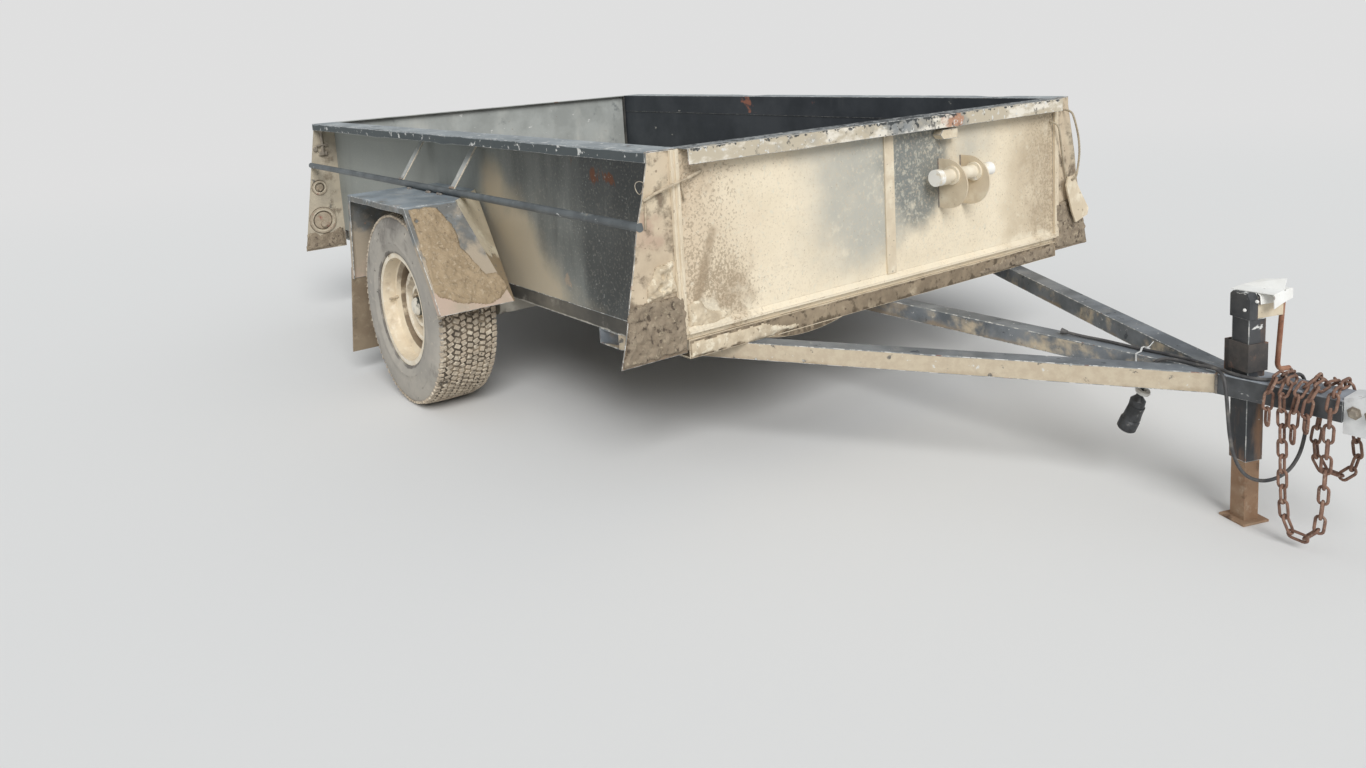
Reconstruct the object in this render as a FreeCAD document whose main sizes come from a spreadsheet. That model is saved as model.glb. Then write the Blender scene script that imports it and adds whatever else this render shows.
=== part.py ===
import FreeCAD, Part
import math
import os
import re
import Sketcher
from FreeCAD import Placement, Rotation, Vector

# Single-axle box trailer, millimetres. +X points forward to the coupler, +Y to the left and +Z up.
# The ground is z = 0, and the origin is under the middle of the whole length.

doc = FreeCAD.newDocument("BoxTrailer")
sizes = doc.addObject("Spreadsheet::Sheet", "Sizes")

# Driving sizes. Columns: name, value, what it is.
SIZE_TABLE = [
    ("tub_front", 1262, "outer face of the front panel, ahead of the axle"),
    ("tub_length", 2832, "front panel to tailgate, outside"),
    ("tub_half", 845, "half the width over the side walls"),
    ("tub_top", 945, "top of the cap rails above the ground"),
    ("frame_bottom", 364, "underside of the chassis rails"),
    ("frame_height", 50, "depth of the chassis rails"),
    ("wall", 3, "thickness of the tub's sheet steel"),
    ("rail_flange", 40, "flange of a chassis rail"),
    ("sill_width", 50, "front to back of each end sill"),
    ("sill_plate", 4, "thickness of the front sill"),
    ("sill_reach", 10, "front sill ahead of the front panel"),
    ("bulge_width", 308, "width of the bent strip under the front sill"),
    ("bulge_drop", 18, "drop of the bent strip under the front sill"),
    ("bulge_gap", 10, "bent strip beside the right-hand drawbar beam"),
    ("hem_lift", 17, "front panel's bottom fold above the floor"),
    ("hem_height", 22, "height of that fold"),
    ("hem_edge", 7, "upright edge of that fold"),
    ("hem_reach", 16, "that fold ahead of the front panel"),
    ("ridge_width", 27, "upright seam at each corner of the front"),
    ("ridge_reach", 11, "upright seam ahead of the front panel"),
    ("member_width", 40, "width of a crossmember"),
    ("member_front_x", 830, "first crossmember, ahead of the axle"),
    ("member_middle_x", 150, "second crossmember, ahead of the axle"),
    ("member_axle_x", -420, "third crossmember, ahead of the axle"),
    ("member_rear_x", -1000, "fourth crossmember, ahead of the axle"),
    ("cap_reach", 101, "cap rail outside the side wall"),
    ("cap_lip", 30, "outer lip of a cap rail"),
    ("cap_depth", 90, "inner flange of a cap rail"),
    ("front_cap_reach", 46, "front rail ahead of the front panel"),
    ("front_cap_lip", 44, "front lip of the front rail"),
    ("front_cap_back", 30, "front rail behind the front panel"),
    ("wing_plate", 4, "thickness of a corner wing"),
    ("front_wing_reach", 217, "front wing beyond the side wall at the bottom"),
    ("rear_wing_reach", 195, "rear wing beyond the side wall at the bottom"),
    ("front_wing_bottom", 380, "height of the front wing's bottom edge"),
    ("rear_wing_bottom", 335, "height of the rear wing's bottom edge"),
    ("rib_width", 42, "flat bar on the front panel"),
    ("rib_plate", 6, "thickness of that flat bar"),
    ("rib_offset", 27, "middle of that flat bar, right of the middle plane"),
    ("stub_offset", 184, "tube stub on the front panel, left of the middle plane"),
    ("stub_length", 88, "length of the tube stub"),
    ("stub_height", 32, "height of the tube stub"),
    ("stub_reach", 34, "tube stub ahead of the front panel"),
    ("stub_drop", 7, "tube stub under the front rail's lip"),
    ("tie_radius", 12.5, "radius of the tie rail"),
    ("tie_reach", 127, "tie rail outside the side wall"),
    ("tie_drop", 197, "tie rail below the top of the cap rails"),
    ("strap_width", 38, "width of a tie rail strap"),
    ("strap_plate", 5, "thickness of a tie rail strap"),
    ("strap_rear", -400, "rear straps, ahead of the axle"),
    ("strap_front", 75, "front straps, ahead of the axle"),
    ("guard_width", 360, "width of a mudguard outside the side wall"),
    ("guard_top", 735, "top of a mudguard"),
    ("guard_bottom", 405, "lower edges of a mudguard"),
    ("guard_rear", -357, "rear end of a mudguard's top, ahead of the axle"),
    ("guard_front", 200, "front end of a mudguard's top, ahead of the axle"),
    ("guard_rear_run", 50, "rearward slant of a mudguard's rear plate"),
    ("guard_front_run", 230, "forward slant of a mudguard's front plate"),
    ("guard_lip", 22, "down-turned lip of a mudguard"),
    ("guard_cut", 92, "cut-back at the inner corner of the front plate"),
    ("flap_plate", 6, "thickness of a rubber mudflap"),
    ("flap_bottom", 95, "lower edge of a mudflap"),
    ("flap_overlap", 45, "mudflap behind the mudguard's rear plate"),
    ("flap_width", 255, "width of a mudflap"),
    ("tyre_radius", 348, "outside radius of a tyre"),
    ("tyre_width", 225, "width of a tyre"),
    ("tyre_reach", 340, "outer face of a tyre outside the side wall"),
    ("rim_flange", 18, "height of a rim's flange over its bead seat"),
    ("rim_width", 196, "width of a rim"),
    ("rim_sheet", 5, "thickness of a rim"),
    ("seat_radius", 190, "radius of a rim's bead seat"),
    ("well_depth", 25, "depth of a rim's drop well under its bead seat"),
    ("disc_in", 100, "rim disc inside the tyre's outer face"),
    ("ridge_radius", 128, "radius of the raised ring pressed in a rim disc"),
    ("crown_radius", 72, "radius of the raised crown round a rim disc's middle"),
    ("press_height", 18, "height of the ring and the crown of a rim disc"),
    ("hub_radius", 38, "radius of a hub barrel"),
    ("hub_flange", 75, "radius of a hub flange"),
    ("hub_length", 95, "length of a hub barrel"),
    ("cap_length", 45, "dust cap beyond the rim disc"),
    ("spindle_radius", 19, "radius of a spindle"),
    ("bearing_gap", 0.05, "radial clearance of a hub on its spindle"),
    ("axle_side", 60, "side of the square axle tube"),
    ("axle_wall", 5, "wall of the axle tube"),
    ("arm_inset", 103, "trailing arm inside its hub"),
    ("arm_run", 150, "axle tube ahead of the wheels' centre"),
    ("arm_plate", 24, "thickness of a trailing arm"),
    ("arm_eye", 38, "radius of a trailing arm's ends"),
    ("beam_height", 50, "height of the drawbar beams"),
    ("beam_wall", 4, "wall of the drawbar beams"),
    ("side_beam_width", 58, "width of a drawbar side beam"),
    ("centre_beam_width", 60, "width of the drawbar's middle beam"),
    ("centre_beam_rear", 480, "rear end of the middle beam, ahead of the axle"),
    ("drawbar_angle", 30, "degrees between a side beam and the middle beam"),
    ("apex", 2300, "where the side beams meet the tongue, ahead of the axle"),
    ("tongue_length", 273, "length of the tongue tube"),
    ("tongue_width", 90, "width of the tongue tube"),
    ("shank_width", 66, "width of the coupler's shank"),
    ("shank_length", 80, "length of the coupler's shank"),
    ("coupler_length", 196, "length of the coupler"),
    ("coupler_width", 76, "width of the coupler"),
    ("coupler_low", 288, "bottom of the coupler"),
    ("coupler_high", 398, "top of the coupler"),
    ("coupler_gap", 0.3, "clearance of the coupler over its shank"),
    ("socket_radius", 25.2, "radius of the ball socket"),
    ("socket_inset", 44, "ball socket behind the coupler's nose"),
    ("socket_wall", 34, "straight wall of the ball socket"),
    ("jack_x", 2352, "jack, ahead of the axle"),
    ("jack_angle", -20, "degrees the jack is turned about its own axis"),
    ("jack_side", 50, "side of the jack's outer tube"),
    ("jack_wall", 3, "wall of the jack's tubes"),
    ("jack_bottom", 155, "lower end of the jack's outer tube"),
    ("jack_top", 505, "upper end of the jack's outer tube"),
    ("jack_gap", 1, "clearance between the jack's tubes"),
    ("leg_top", 345, "top of the jack's inner leg as it stands"),
    ("foot_side", 76, "side of the jack's foot plate"),
    ("foot_plate", 6, "thickness of the jack's foot plate"),
    ("collar_plate", 4, "thickness of the jack's collar"),
    ("collar_lift", 14, "collar's band above the tongue"),
    ("collar_height", 82, "top of the jack's collar above the tongue"),
    ("collar_pocket", 26, "pocket of the collar behind the jack"),
    ("collar_width", 40, "width of that pocket"),
    ("head_length", 104, "length of the jack's gear head"),
    ("head_width", 58, "width of the jack's gear head"),
    ("head_height", 62, "height of the jack's gear head"),
    ("head_offset", 24, "gear head's middle beyond the jack's axis"),
    ("head_end", 24, "length of the gear head's end block"),
    ("head_body", 46, "width of the gear head behind its end block"),
    ("cover_sheet", 2, "thickness of the sheet over the gear head"),
    ("cover_width", 62, "width of the sheet over the gear head"),
    ("cover_drop", 26, "front edge of that sheet, below its top"),
    ("crank_radius", 6, "radius of the crank's bar"),
    ("crank_drop", 195, "length of the hanging crank arm"),
    ("crank_lift", 46, "crank's bar above the foot of the gear head"),
    ("crank_grip", 70, "length of the crank's grip"),
    ("ear_plate", 5, "thickness of a bar ear on the front panel"),
    ("ear_radius", 81, "round front of a bar ear"),
    ("ear_straight", 36, "straight part of a bar ear, ahead of the front panel"),
    ("ear_drop", 30, "middle of a bar ear below the bar"),
    ("ear_right_y", 213, "right-hand bar ear"),
    ("ear_left_y", 325, "left-hand bar ear"),
    ("bar_radius", 22, "radius of the bar in the ears"),
    ("sleeve_radius", 27, "radius of the sleeve on the bar's right-hand end"),
    ("sleeve_length", 62, "length of that sleeve"),
    ("sleeve_slant", 40, "run of the slanted cut of that sleeve"),
    ("collar_radius", 31, "radius of the washers beside the ears"),
    ("collar_length", 8, "thickness of those washers"),
    ("bar_x", 58, "bar's axis ahead of the front panel"),
    ("bar_drop", 199, "bar below the top of the cap rails"),
    ("bar_start", 124, "right-hand end of the bar"),
    ("bar_length", 280, "length of the bar"),
    ("gate_gap", 6, "gap between tailgate and its neighbours"),
    ("gate_plate", 3, "thickness of the tailgate's sheet"),
    ("gate_lip", 28, "folded edge of the tailgate"),
    ("hinge_radius", 11, "radius of a tailgate hinge knuckle"),
    ("hinge_pin", 6, "radius of a tailgate hinge pin"),
    ("hinge_gap", 0.06, "radial clearance of a knuckle on its pin"),
    ("hinge_back", 24, "hinge axis behind the tailgate"),
    ("hinge_z", 400, "height of the tailgate's hinge axis"),
    ("hinge_length", 40, "length of one knuckle"),
    ("hinge_inset", 245, "outer hinges inside the side wall"),
    ("leaf_plate", 5, "thickness of a tailgate hinge leaf"),
    ("leaf_height", 60, "hinge leaf up the tailgate's sheet"),
    ("lamp_radius", 58, "radius of a tail lamp"),
    ("lamp_depth", 34, "depth of a tail lamp"),
    ("lamp_reach", 102, "tail lamp outside the side wall"),
    ("lamp_z", 476, "height of a tail lamp"),
    ("lamp_hole", 52, "radius of a tail lamp's hole in the wing"),
    ("lamp_lip", 62, "radius of a tail lamp's grommet"),
    ("lip_height", 8, "grommet lips ahead of the wing"),
    ("marker_lift", 160, "marker lamp above the tail lamp"),
    ("marker_radius", 30, "radius of a marker lamp"),
    ("marker_hole", 26, "radius of a marker lamp's hole in the wing"),
    ("marker_lip", 34, "radius of a marker lamp's grommet"),
    ("marker_depth", 22, "depth of a marker lamp"),
    ("chain_pitch", 36, "step from link to link of a straight chain"),
    ("chain_play", 0.6, "gap between two links"),
    ("chain_wire", 7, "thickness of a chain link's bar"),
    ("chain_inner", 12, "inside width of a chain link"),
    ("cable_radius", 4.25, "radius of the lighting cable"),
    ("gland_radius", 9, "radius of the cable's grommet"),
    ("gland_length", 16, "length of the cable's grommet"),
    ("plug_radius", 19, "radius of the cable's plug"),
    ("plug_length", 88, "length of the cable's plug"),
    ("rope_radius", 4, "radius of the rope on the left front wing"),
    ("tag_plate", 6, "thickness of the plate that hangs on the rope"),
    ("tag_gap", 0.5, "clearance of the rope in that plate's hole"),
]
for row, (alias, number, note) in enumerate(SIZE_TABLE, start=1):
    sizes.set(f"A{row}", alias)
    sizes.set(f"B{row}", str(number))
    sizes.set(f"C{row}", note)
    sizes.setAlias(f"B{row}", alias)
doc.recompute()

# Places worked out from the driving sizes. Columns: name, formula.
PLACES = {
    "nose": "(apex + tongue_length + coupler_length)",
    "tail": "(tub_length - tub_front + hinge_back + hinge_radius)",
    "axle_x": "((tail - nose) / 2)",
    "front_x": "(axle_x + tub_front)",
    "rear_x": "(front_x - tub_length)",
    "floor_low": "(frame_bottom + frame_height)",
    "floor_high": "(floor_low + wall)",
    "cap_low": "(tub_top - wall)",
    "beam_low": "(frame_bottom - beam_height)",
    "apex_x": "(axle_x + apex)",
    "tongue_end": "(apex_x + tongue_length)",
    "nose_x": "(axle_x + nose)",
    "socket_x": "(nose_x - socket_inset)",
    "jack_at": "(axle_x + jack_x)",
    "hinge_x": "(rear_x - hinge_back)",
    "gate_low": "(floor_high + gate_gap)",
    "sill_high": "(floor_low + sill_plate)",
    "beam_inner": "((apex - tub_front) * tan(drawbar_angle) + tongue_width / 2"
                  " - side_beam_width / cos(drawbar_angle))",
    "bulge_start": "(bulge_gap - beam_inner)",
    "hem_low": "(floor_high + hem_lift)",
    "tie_y": "(tub_half + tie_reach)",
    "tie_z": "(tub_top - tie_drop)",
    "bar_z": "(tub_top - bar_drop)",
    "marker_z": "(lamp_z + marker_lift)",
    "rim_radius": "(seat_radius + rim_flange)",
    "well_radius": "(seat_radius - well_depth)",
    "guard_out": "(tub_half + guard_width)",
    "flap_inner": "(guard_out - flap_width)",
    "tyre_out": "(tub_half + tyre_reach)",
    "disc_y": "(tyre_out - disc_in)",
    "axle_half": "(disc_y - rim_sheet - hub_length - arm_inset - arm_plate)",
    "lamp_y": "(tub_half + lamp_reach)",
    "hinge_y": "(tub_half - hinge_inset)",
}
SIZE_NAMES = [name for name, _, _ in SIZE_TABLE]

# A sketch's corners start on a ring of this radius, before their constraints place them.
START_RING = 200


def formula(text):
    """The text as a FreeCAD expression, with places written out and sizes read from the sheet."""
    while any(re.search(rf"\b{name}\b", text) for name in PLACES):
        text = re.sub(r"\b[a-z_]+\b", lambda word: PLACES.get(word.group(), word.group()), text)
    return re.sub(r"\b[a-z_]+\b",
                  lambda word: f"Sizes.{word.group()}" if word.group() in SIZE_NAMES else word.group(), text)


def bind(item, **formulas):
    """Tie properties to formulas. A double underscore in a keyword stands for a dot."""
    for name, text in formulas.items():
        item.setExpression(name.replace("__", "."), formula(text))
    return item


def place(item, x="0", y="0", z="0"):
    """Put an object at a point given by three formulas."""
    return bind(item, Placement__Base__x=x, Placement__Base__y=y, Placement__Base__z=z)


# Sketch planes. Columns: role of the origin plane, axis it is padded along, whether the pad is reversed.
PLANES = {"XY": ("XY_Plane", "z", False), "XZ": ("XZ_Plane", "y", True), "YZ": ("YZ_Plane", "x", False)}


def add_loop(sketch, corners):
    """Add a closed loop of lines whose corners are pairs of formulas."""
    first = sketch.GeometryCount
    count = len(corners)
    ring = [Vector(START_RING * math.cos(2 * math.pi * i / count),
                   START_RING * math.sin(2 * math.pi * i / count), 0)
            for i in range(count)]
    for i in range(count):
        sketch.addGeometry(Part.LineSegment(ring[i], ring[(i + 1) % count]), False)
    for i in range(count):
        sketch.addConstraint(Sketcher.Constraint("Coincident", first + i, 2, first + (i + 1) % count, 1))
    for i, (across, up) in enumerate(corners):
        for kind, start, text in (("DistanceX", ring[i].x, across), ("DistanceY", ring[i].y, up)):
            index = sketch.addConstraint(Sketcher.Constraint(kind, -1, 1, first + i, 1, start))
            sketch.setExpression(f"Constraints[{index}]", formula(text))


def sketched(name, plane, loops):
    """A body holding one sketch of the loops on an origin plane."""
    body = doc.addObject("PartDesign::Body", name)
    sketch = body.newObject("Sketcher::SketchObject", f"{name}_outline")
    role = PLANES[plane][0]
    origin_plane = next(item for item in body.Origin.OriginFeatures if item.Role == role)
    sketch.AttachmentSupport = [(origin_plane, "")]
    sketch.MapMode = "FlatFace"
    for corners in loops:
        add_loop(sketch, corners)
    return body, sketch


def padded(name, plane, loops, start, depth):
    """A body padded from the loops, beginning at start along the plane's normal."""
    body, sketch = sketched(name, plane, loops)
    _, axis, reverse = PLANES[plane]
    pad = body.newObject("PartDesign::Pad", f"{name}_pad")
    pad.Profile = sketch
    pad.Reversed = reverse
    bind(pad, Length=depth)
    place(body, **{axis: start})
    return body


def revolved(name, corners, x, z):
    """A body turned about the Y direction from a profile of (y, radius) corners."""
    body, sketch = sketched(name, "YZ", [corners])
    turn = body.newObject("PartDesign::Revolution", f"{name}_turn")
    turn.Profile = sketch
    turn.ReferenceAxis = (sketch, ["H_Axis"])
    turn.Angle = 360
    place(body, x=x, z=z)
    return body


def box(name, length, width, height, x, y, z):
    """A box primitive with its lowest corner at x, y, z."""
    item = bind(doc.addObject("Part::Box", name), Length=length, Width=width, Height=height)
    return place(item, x, y, z)


def rod(name, radius, length, x, y, z, axis=Vector(0, 0, 1)):
    """A cylinder primitive that starts at x, y, z and runs along axis."""
    item = bind(doc.addObject("Part::Cylinder", name), Radius=radius, Height=length)
    item.Placement = Placement(Vector(), Rotation(Vector(0, 0, 1), axis))
    return place(item, x, y, z)


def cut(name, base, tool):
    item = doc.addObject("Part::Cut", name)
    item.Base, item.Tool = base, tool
    return item


def fused(name, pieces):
    item = doc.addObject("Part::MultiFuse", name)
    item.Shapes = pieces
    return item


def common(name, first, second):
    item = doc.addObject("Part::MultiCommon", name)
    item.Shapes = [first, second]
    return item


def mirrored(name, source):
    """The source reflected in the trailer's middle plane."""
    item = doc.addObject("Part::Mirroring", name)
    item.Source = source
    item.Normal = (0, 1, 0)
    item.Base = (0, 0, 0)
    return item


def group(name, pieces):
    """Several solids that don't touch, kept as one sub-part."""
    item = doc.addObject("Part::Compound", name)
    item.Links = pieces
    return item


def pair(name, source):
    """A right-hand piece and its left-hand mirror image as one sub-part."""
    return group(name, [source, mirrored(f"{name}_left", source)])


def rectangle(left, low, right, high):
    """The corners of an upright rectangle."""
    return [(left, low), (right, low), (right, high), (left, high)]


nodes = {}


def node(name, item):
    """Name a finished sub-part."""
    item.Label = name
    nodes[name] = item
    return item


# Chassis rails: channels that open inwards
def chassis():
    channel = [
        ("-tub_half", "frame_bottom"), ("-tub_half + rail_flange", "frame_bottom"),
        ("-tub_half + rail_flange", "frame_bottom + wall"), ("-tub_half + wall", "frame_bottom + wall"),
        ("-tub_half + wall", "floor_low - wall"), ("-tub_half + rail_flange", "floor_low - wall"),
        ("-tub_half + rail_flange", "floor_low"), ("-tub_half", "floor_low"),
    ]
    rail = padded("chassis_rail_right", "YZ", [channel], "rear_x + sill_width", "tub_length - 2 * sill_width")
    node("chassis_rails", pair("chassis_rail_pair", rail))

    web = "front_x + sill_reach"
    sill = [
        ("front_x - sill_width", "frame_bottom"), (web, "frame_bottom"), (web, "sill_high"),
        ("front_x", "sill_high"),
        ("front_x", "floor_low"), (f"{web} - sill_plate", "floor_low"),
        (f"{web} - sill_plate", "frame_bottom + sill_plate"),
        ("front_x - sill_width", "frame_bottom + sill_plate"),
    ]
    node("front_sill", padded("front_sill_sheet", "XZ", [sill], "-tub_half", "2 * tub_half"))
    bulge_radius = "(bulge_width ^ 2 / (8 * bulge_drop) + bulge_drop / 2)"
    edge = f"{web} - sill_plate"
    round_edge = rod("bulge_round", bulge_radius, "sill_plate", edge, "bulge_start + bulge_width / 2",
                     f"frame_bottom - bulge_drop + {bulge_radius}", Vector(1, 0, 0))
    below = box("bulge_below", "sill_plate", "bulge_width", "bulge_drop", edge, "bulge_start",
                "frame_bottom - bulge_drop")
    node("sill_strip", common("bulge_strip", round_edge, below))
    hollow = [rectangle("rear_x", "frame_bottom", "rear_x + sill_width", "floor_low"),
              rectangle("rear_x + wall", "frame_bottom + wall", "rear_x + sill_width - wall",
                        "floor_low - wall")]
    node("rear_sill", padded("rear_sill_tube", "XZ", hollow, "-tub_half", "2 * tub_half"))

    # Crossmembers sit inside the channels. Column: middle of each, ahead of the axle.
    members = []
    for index, at in enumerate(("member_front_x", "member_middle_x", "member_axle_x", "member_rear_x")):
        left = f"axle_x + {at} - member_width / 2"
        section = [rectangle(left, "frame_bottom + wall", f"{left} + member_width", "floor_low - wall"),
                   rectangle(f"{left} + wall", "frame_bottom + 2 * wall",
                             f"{left} + member_width - wall", "floor_low - 2 * wall")]
        members.append(padded(f"crossmember_{index}", "XZ", section, "-tub_half + wall",
                              "2 * (tub_half - wall)"))
    node("crossmembers", group("crossmember_set", members))


# Tub: floor, walls and folded top rails
def tub():
    node("floor_sheet", box("floor_plate", "tub_length - wall - gate_gap", "2 * (tub_half - wall)", "wall",
                            "rear_x + gate_gap", "-tub_half + wall", "floor_low"))
    wall = box("side_sheet", "tub_length - wall", "wall", "cap_low - floor_low", "rear_x", "-tub_half",
               "floor_low")
    node("side_wall_right", wall)
    node("side_wall_left", mirrored("side_sheet_left", wall))
    panel = [
        ("front_x - wall", "floor_low"), ("front_x", "floor_low"), ("front_x", "hem_low"),
        ("front_x + hem_reach", "hem_low"), ("front_x + hem_reach", "hem_low + hem_edge"),
        ("front_x", "hem_low + hem_height"), ("front_x", "cap_low"), ("front_x - wall", "cap_low"),
    ]
    node("front_panel", padded("front_sheet", "XZ", [panel], "-tub_half", "2 * tub_half"))
    node("front_rib", box("front_flat", "rib_plate", "rib_width",
                          "tub_top - front_cap_lip - hem_low - hem_height",
                          "front_x", "-rib_offset - rib_width / 2", "hem_low + hem_height"))
    top = "tub_top - front_cap_lip - stub_drop"
    stub = [
        ("stub_offset", f"{top} - stub_height / 2"), ("stub_offset + stub_height / 2", top),
        ("stub_offset + stub_length", top), ("stub_offset + stub_length", f"{top} - stub_height"),
        ("stub_offset + stub_height / 2", f"{top} - stub_height"),
    ]
    node("panel_stub", padded("panel_stub_tube", "YZ", [stub], "front_x", "stub_reach"))
    cap = [
        ("-tub_half - cap_reach", "tub_top - cap_lip"), ("-tub_half - cap_reach + wall", "tub_top - cap_lip"),
        ("-tub_half - cap_reach + wall", "cap_low"), ("-tub_half + wall", "cap_low"),
        ("-tub_half + wall", "tub_top - cap_depth"), ("-tub_half + 2 * wall", "tub_top - cap_depth"),
        ("-tub_half + 2 * wall", "tub_top"), ("-tub_half - cap_reach", "tub_top"),
    ]
    rail = padded("cap_rail_sheet", "YZ", [cap], "rear_x", "tub_length - wall")
    node("cap_rail_right", rail)
    node("cap_rail_left", mirrored("cap_rail_sheet_left", rail))
    front_cap = [
        ("front_x - front_cap_back", "cap_low"), ("front_x + front_cap_reach - wall", "cap_low"),
        ("front_x + front_cap_reach - wall", "tub_top - front_cap_lip"),
        ("front_x + front_cap_reach", "tub_top - front_cap_lip"), ("front_x + front_cap_reach", "tub_top"),
        ("front_x - front_cap_back", "tub_top"),
    ]
    node("front_rail", padded("front_rail_sheet", "XZ", [front_cap], "-tub_half + 2 * wall",
                              "2 * (tub_half - 2 * wall)"))


# Corner wings, tie rails and their straps
def wings():
    # Columns: node, x of the plate's rear face, reach at the bottom, height of the bottom edge
    for name, at, reach, low in (("front_wings", "front_x - wing_plate", "front_wing_reach",
                                  "front_wing_bottom"),
                                 ("rear_wings", "rear_x", "rear_wing_reach", "rear_wing_bottom")):
        edge = "-tub_half - cap_reach + wall"
        plate = [("-tub_half", low), ("-tub_half", "cap_low"), (edge, "cap_low"), (edge, "tub_top - cap_lip"),
                 (f"-tub_half - {reach}", low)]
        sheet = padded(f"{name}_plate", "YZ", [plate], at, "wing_plate")
        if name == "rear_wings":
            for hole, radius, height in (("lamp_opening", "lamp_hole", "lamp_z"),
                                         ("marker_opening", "marker_hole", "marker_z")):
                bore = rod(hole, radius, "wing_plate + 2", f"{at} - 1", "-lamp_y", height, Vector(1, 0, 0))
                sheet = cut(f"{hole}_cut", sheet, bore)
        node(name, pair(f"{name}_pair", sheet))
    seam = [
        ("front_x", "-tub_half - ridge_width"),
        ("front_x + ridge_reach - 2", "-tub_half - 0.9 * ridge_width"),
        ("front_x + ridge_reach - 2", "-tub_half - 0.6 * ridge_width"),
        ("front_x + ridge_reach / 3", "-tub_half - 0.5 * ridge_width"),
        ("front_x + ridge_reach", "-tub_half - 0.35 * ridge_width"), ("front_x + ridge_reach", "-tub_half"),
        ("front_x", "-tub_half"),
    ]
    node("corner_seams", pair("corner_seam_pair", padded("corner_seam_right", "XY", [seam], "hem_low",
                                                         "cap_low - hem_low")))
    rail = rod("tie_rail_right", "tie_radius", "tub_length - 2 * wing_plate",
               "rear_x + wing_plate", "-tie_y", "tie_z", Vector(1, 0, 0))
    node("tie_rails", pair("tie_rail_pair", rail))
    straps = []
    foot = "tie_z + tie_radius"
    for name, at in (("strap_rear", "strap_rear"), ("strap_front", "strap_front")):
        side = [("-tie_y - strap_plate / 2", foot), ("-tie_y + strap_plate / 2", foot),
                ("-tub_half", "cap_low - strap_plate"), ("-tub_half", "cap_low"),
                ("-tub_half - strap_plate", "cap_low")]
        strap = padded(f"{name}_bar", "YZ", [side], f"axle_x + {at} - strap_width / 2", "strap_width")
        straps += [strap, mirrored(f"{name}_bar_left", strap)]
    node("tie_straps", group("tie_strap_set", straps))


# Mudguards: three plates, a turned lip and a cut-back inner corner
def mudguards():
    top_rear, top_front = "axle_x + guard_rear", "axle_x + guard_front"
    low_rear, low_front = f"{top_rear} - guard_rear_run", f"{top_front} + guard_front_run"
    sheet = [
        (low_rear, "guard_bottom"), (top_rear, "guard_top"), (top_front, "guard_top"),
        (low_front, "guard_bottom"),
        (f"{low_front} - 1.3 * wall", "guard_bottom"), (f"{top_front} - wall", "guard_top - wall"),
        (f"{top_rear} + wall", "guard_top - wall"), (f"{low_rear} + 1.1 * wall", "guard_bottom"),
    ]
    lip = [
        (low_rear, "guard_bottom"), (top_rear, "guard_top"), (top_front, "guard_top"),
        (low_front, "guard_bottom"),
        (f"{low_front} - 1.22 * guard_lip", "guard_bottom"),
        (f"{top_front} - 0.52 * guard_lip", "guard_top - guard_lip"),
        (f"{top_rear} + 0.8 * guard_lip", "guard_top - guard_lip"),
        (f"{low_rear} + 1.01 * guard_lip", "guard_bottom"),
    ]
    skin = padded("guard_skin", "XZ", [sheet], "-guard_out", "guard_out - tub_half")
    edge = padded("guard_edge", "XZ", [lip], "-guard_out", "wall")
    whole = fused("guard_folded", [skin, edge])
    corner = [(f"{top_front} + 1", "-tub_half + 1"), (f"{low_front} + 1", "-tub_half + 1"),
              (f"{low_front} + 1", "-tub_half - guard_cut")]
    trimmed = cut("guard_trimmed", whole, padded("guard_corner", "XY", [corner], "guard_bottom - 1",
                                                 "guard_top - guard_bottom - wall"))
    node("mudguard_right", trimmed)
    node("mudguard_left", mirrored("guard_trimmed_left", trimmed))
    slope = "guard_rear_run / (guard_top - guard_bottom)"
    high = "(guard_bottom + flap_overlap)"
    flap = [(f"{low_rear} + flap_overlap * {slope}", high),
            (f"{low_rear} + flap_overlap * {slope} - flap_plate", high),
            (f"{low_rear} - flap_plate - 0.28 * (guard_bottom - flap_bottom)", "flap_bottom"),
            (f"{low_rear} - 0.28 * (guard_bottom - flap_bottom)", "flap_bottom"), (low_rear, "guard_bottom")]
    node("mudflaps", pair("mudflap_pair", padded("mudflap_right", "XZ", [flap], "-guard_out",
                                                 "guard_out - flap_inner")))


# Axle: square tube, trailing arms and spindles
def axle():
    low = "frame_bottom - axle_side"
    left = "axle_x + arm_run - axle_side / 2"
    section = [rectangle(left, low, f"{left} + axle_side", f"{low} + axle_side"),
               rectangle(f"{left} + axle_wall", f"{low} + axle_wall",
                         f"{left} + axle_side - axle_wall", f"{low} + axle_side - axle_wall")]
    node("axle_tube", padded("axle_section", "XZ", section, "-axle_half", "2 * axle_half"))
    across = Vector(0, 1, 0)
    arm_y = "-axle_half - arm_plate"
    bars = [
        rod("arm_front", "arm_eye", "arm_plate", "axle_x + arm_run", arm_y, "frame_bottom - axle_side / 2",
            across),
        rod("arm_rear", "arm_eye", "arm_plate", "axle_x", arm_y, "tyre_radius", across),
        padded("arm_web", "XZ", [[("axle_x", "tyre_radius - arm_eye"), ("axle_x", "tyre_radius + arm_eye"),
                                  ("axle_x + arm_run", "frame_bottom - axle_side / 2 + arm_eye"),
                                  ("axle_x + arm_run", "frame_bottom - axle_side / 2 - arm_eye")]],
               arm_y, "arm_plate"),
        rod("spindle", "spindle_radius", "disc_y + cap_length / 2 - axle_half - arm_plate",
            "axle_x", "-disc_y - cap_length / 2", "tyre_radius", across),
    ]
    node("axle_arms", pair("axle_arm_pair", fused("axle_arm_right", bars)))


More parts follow.
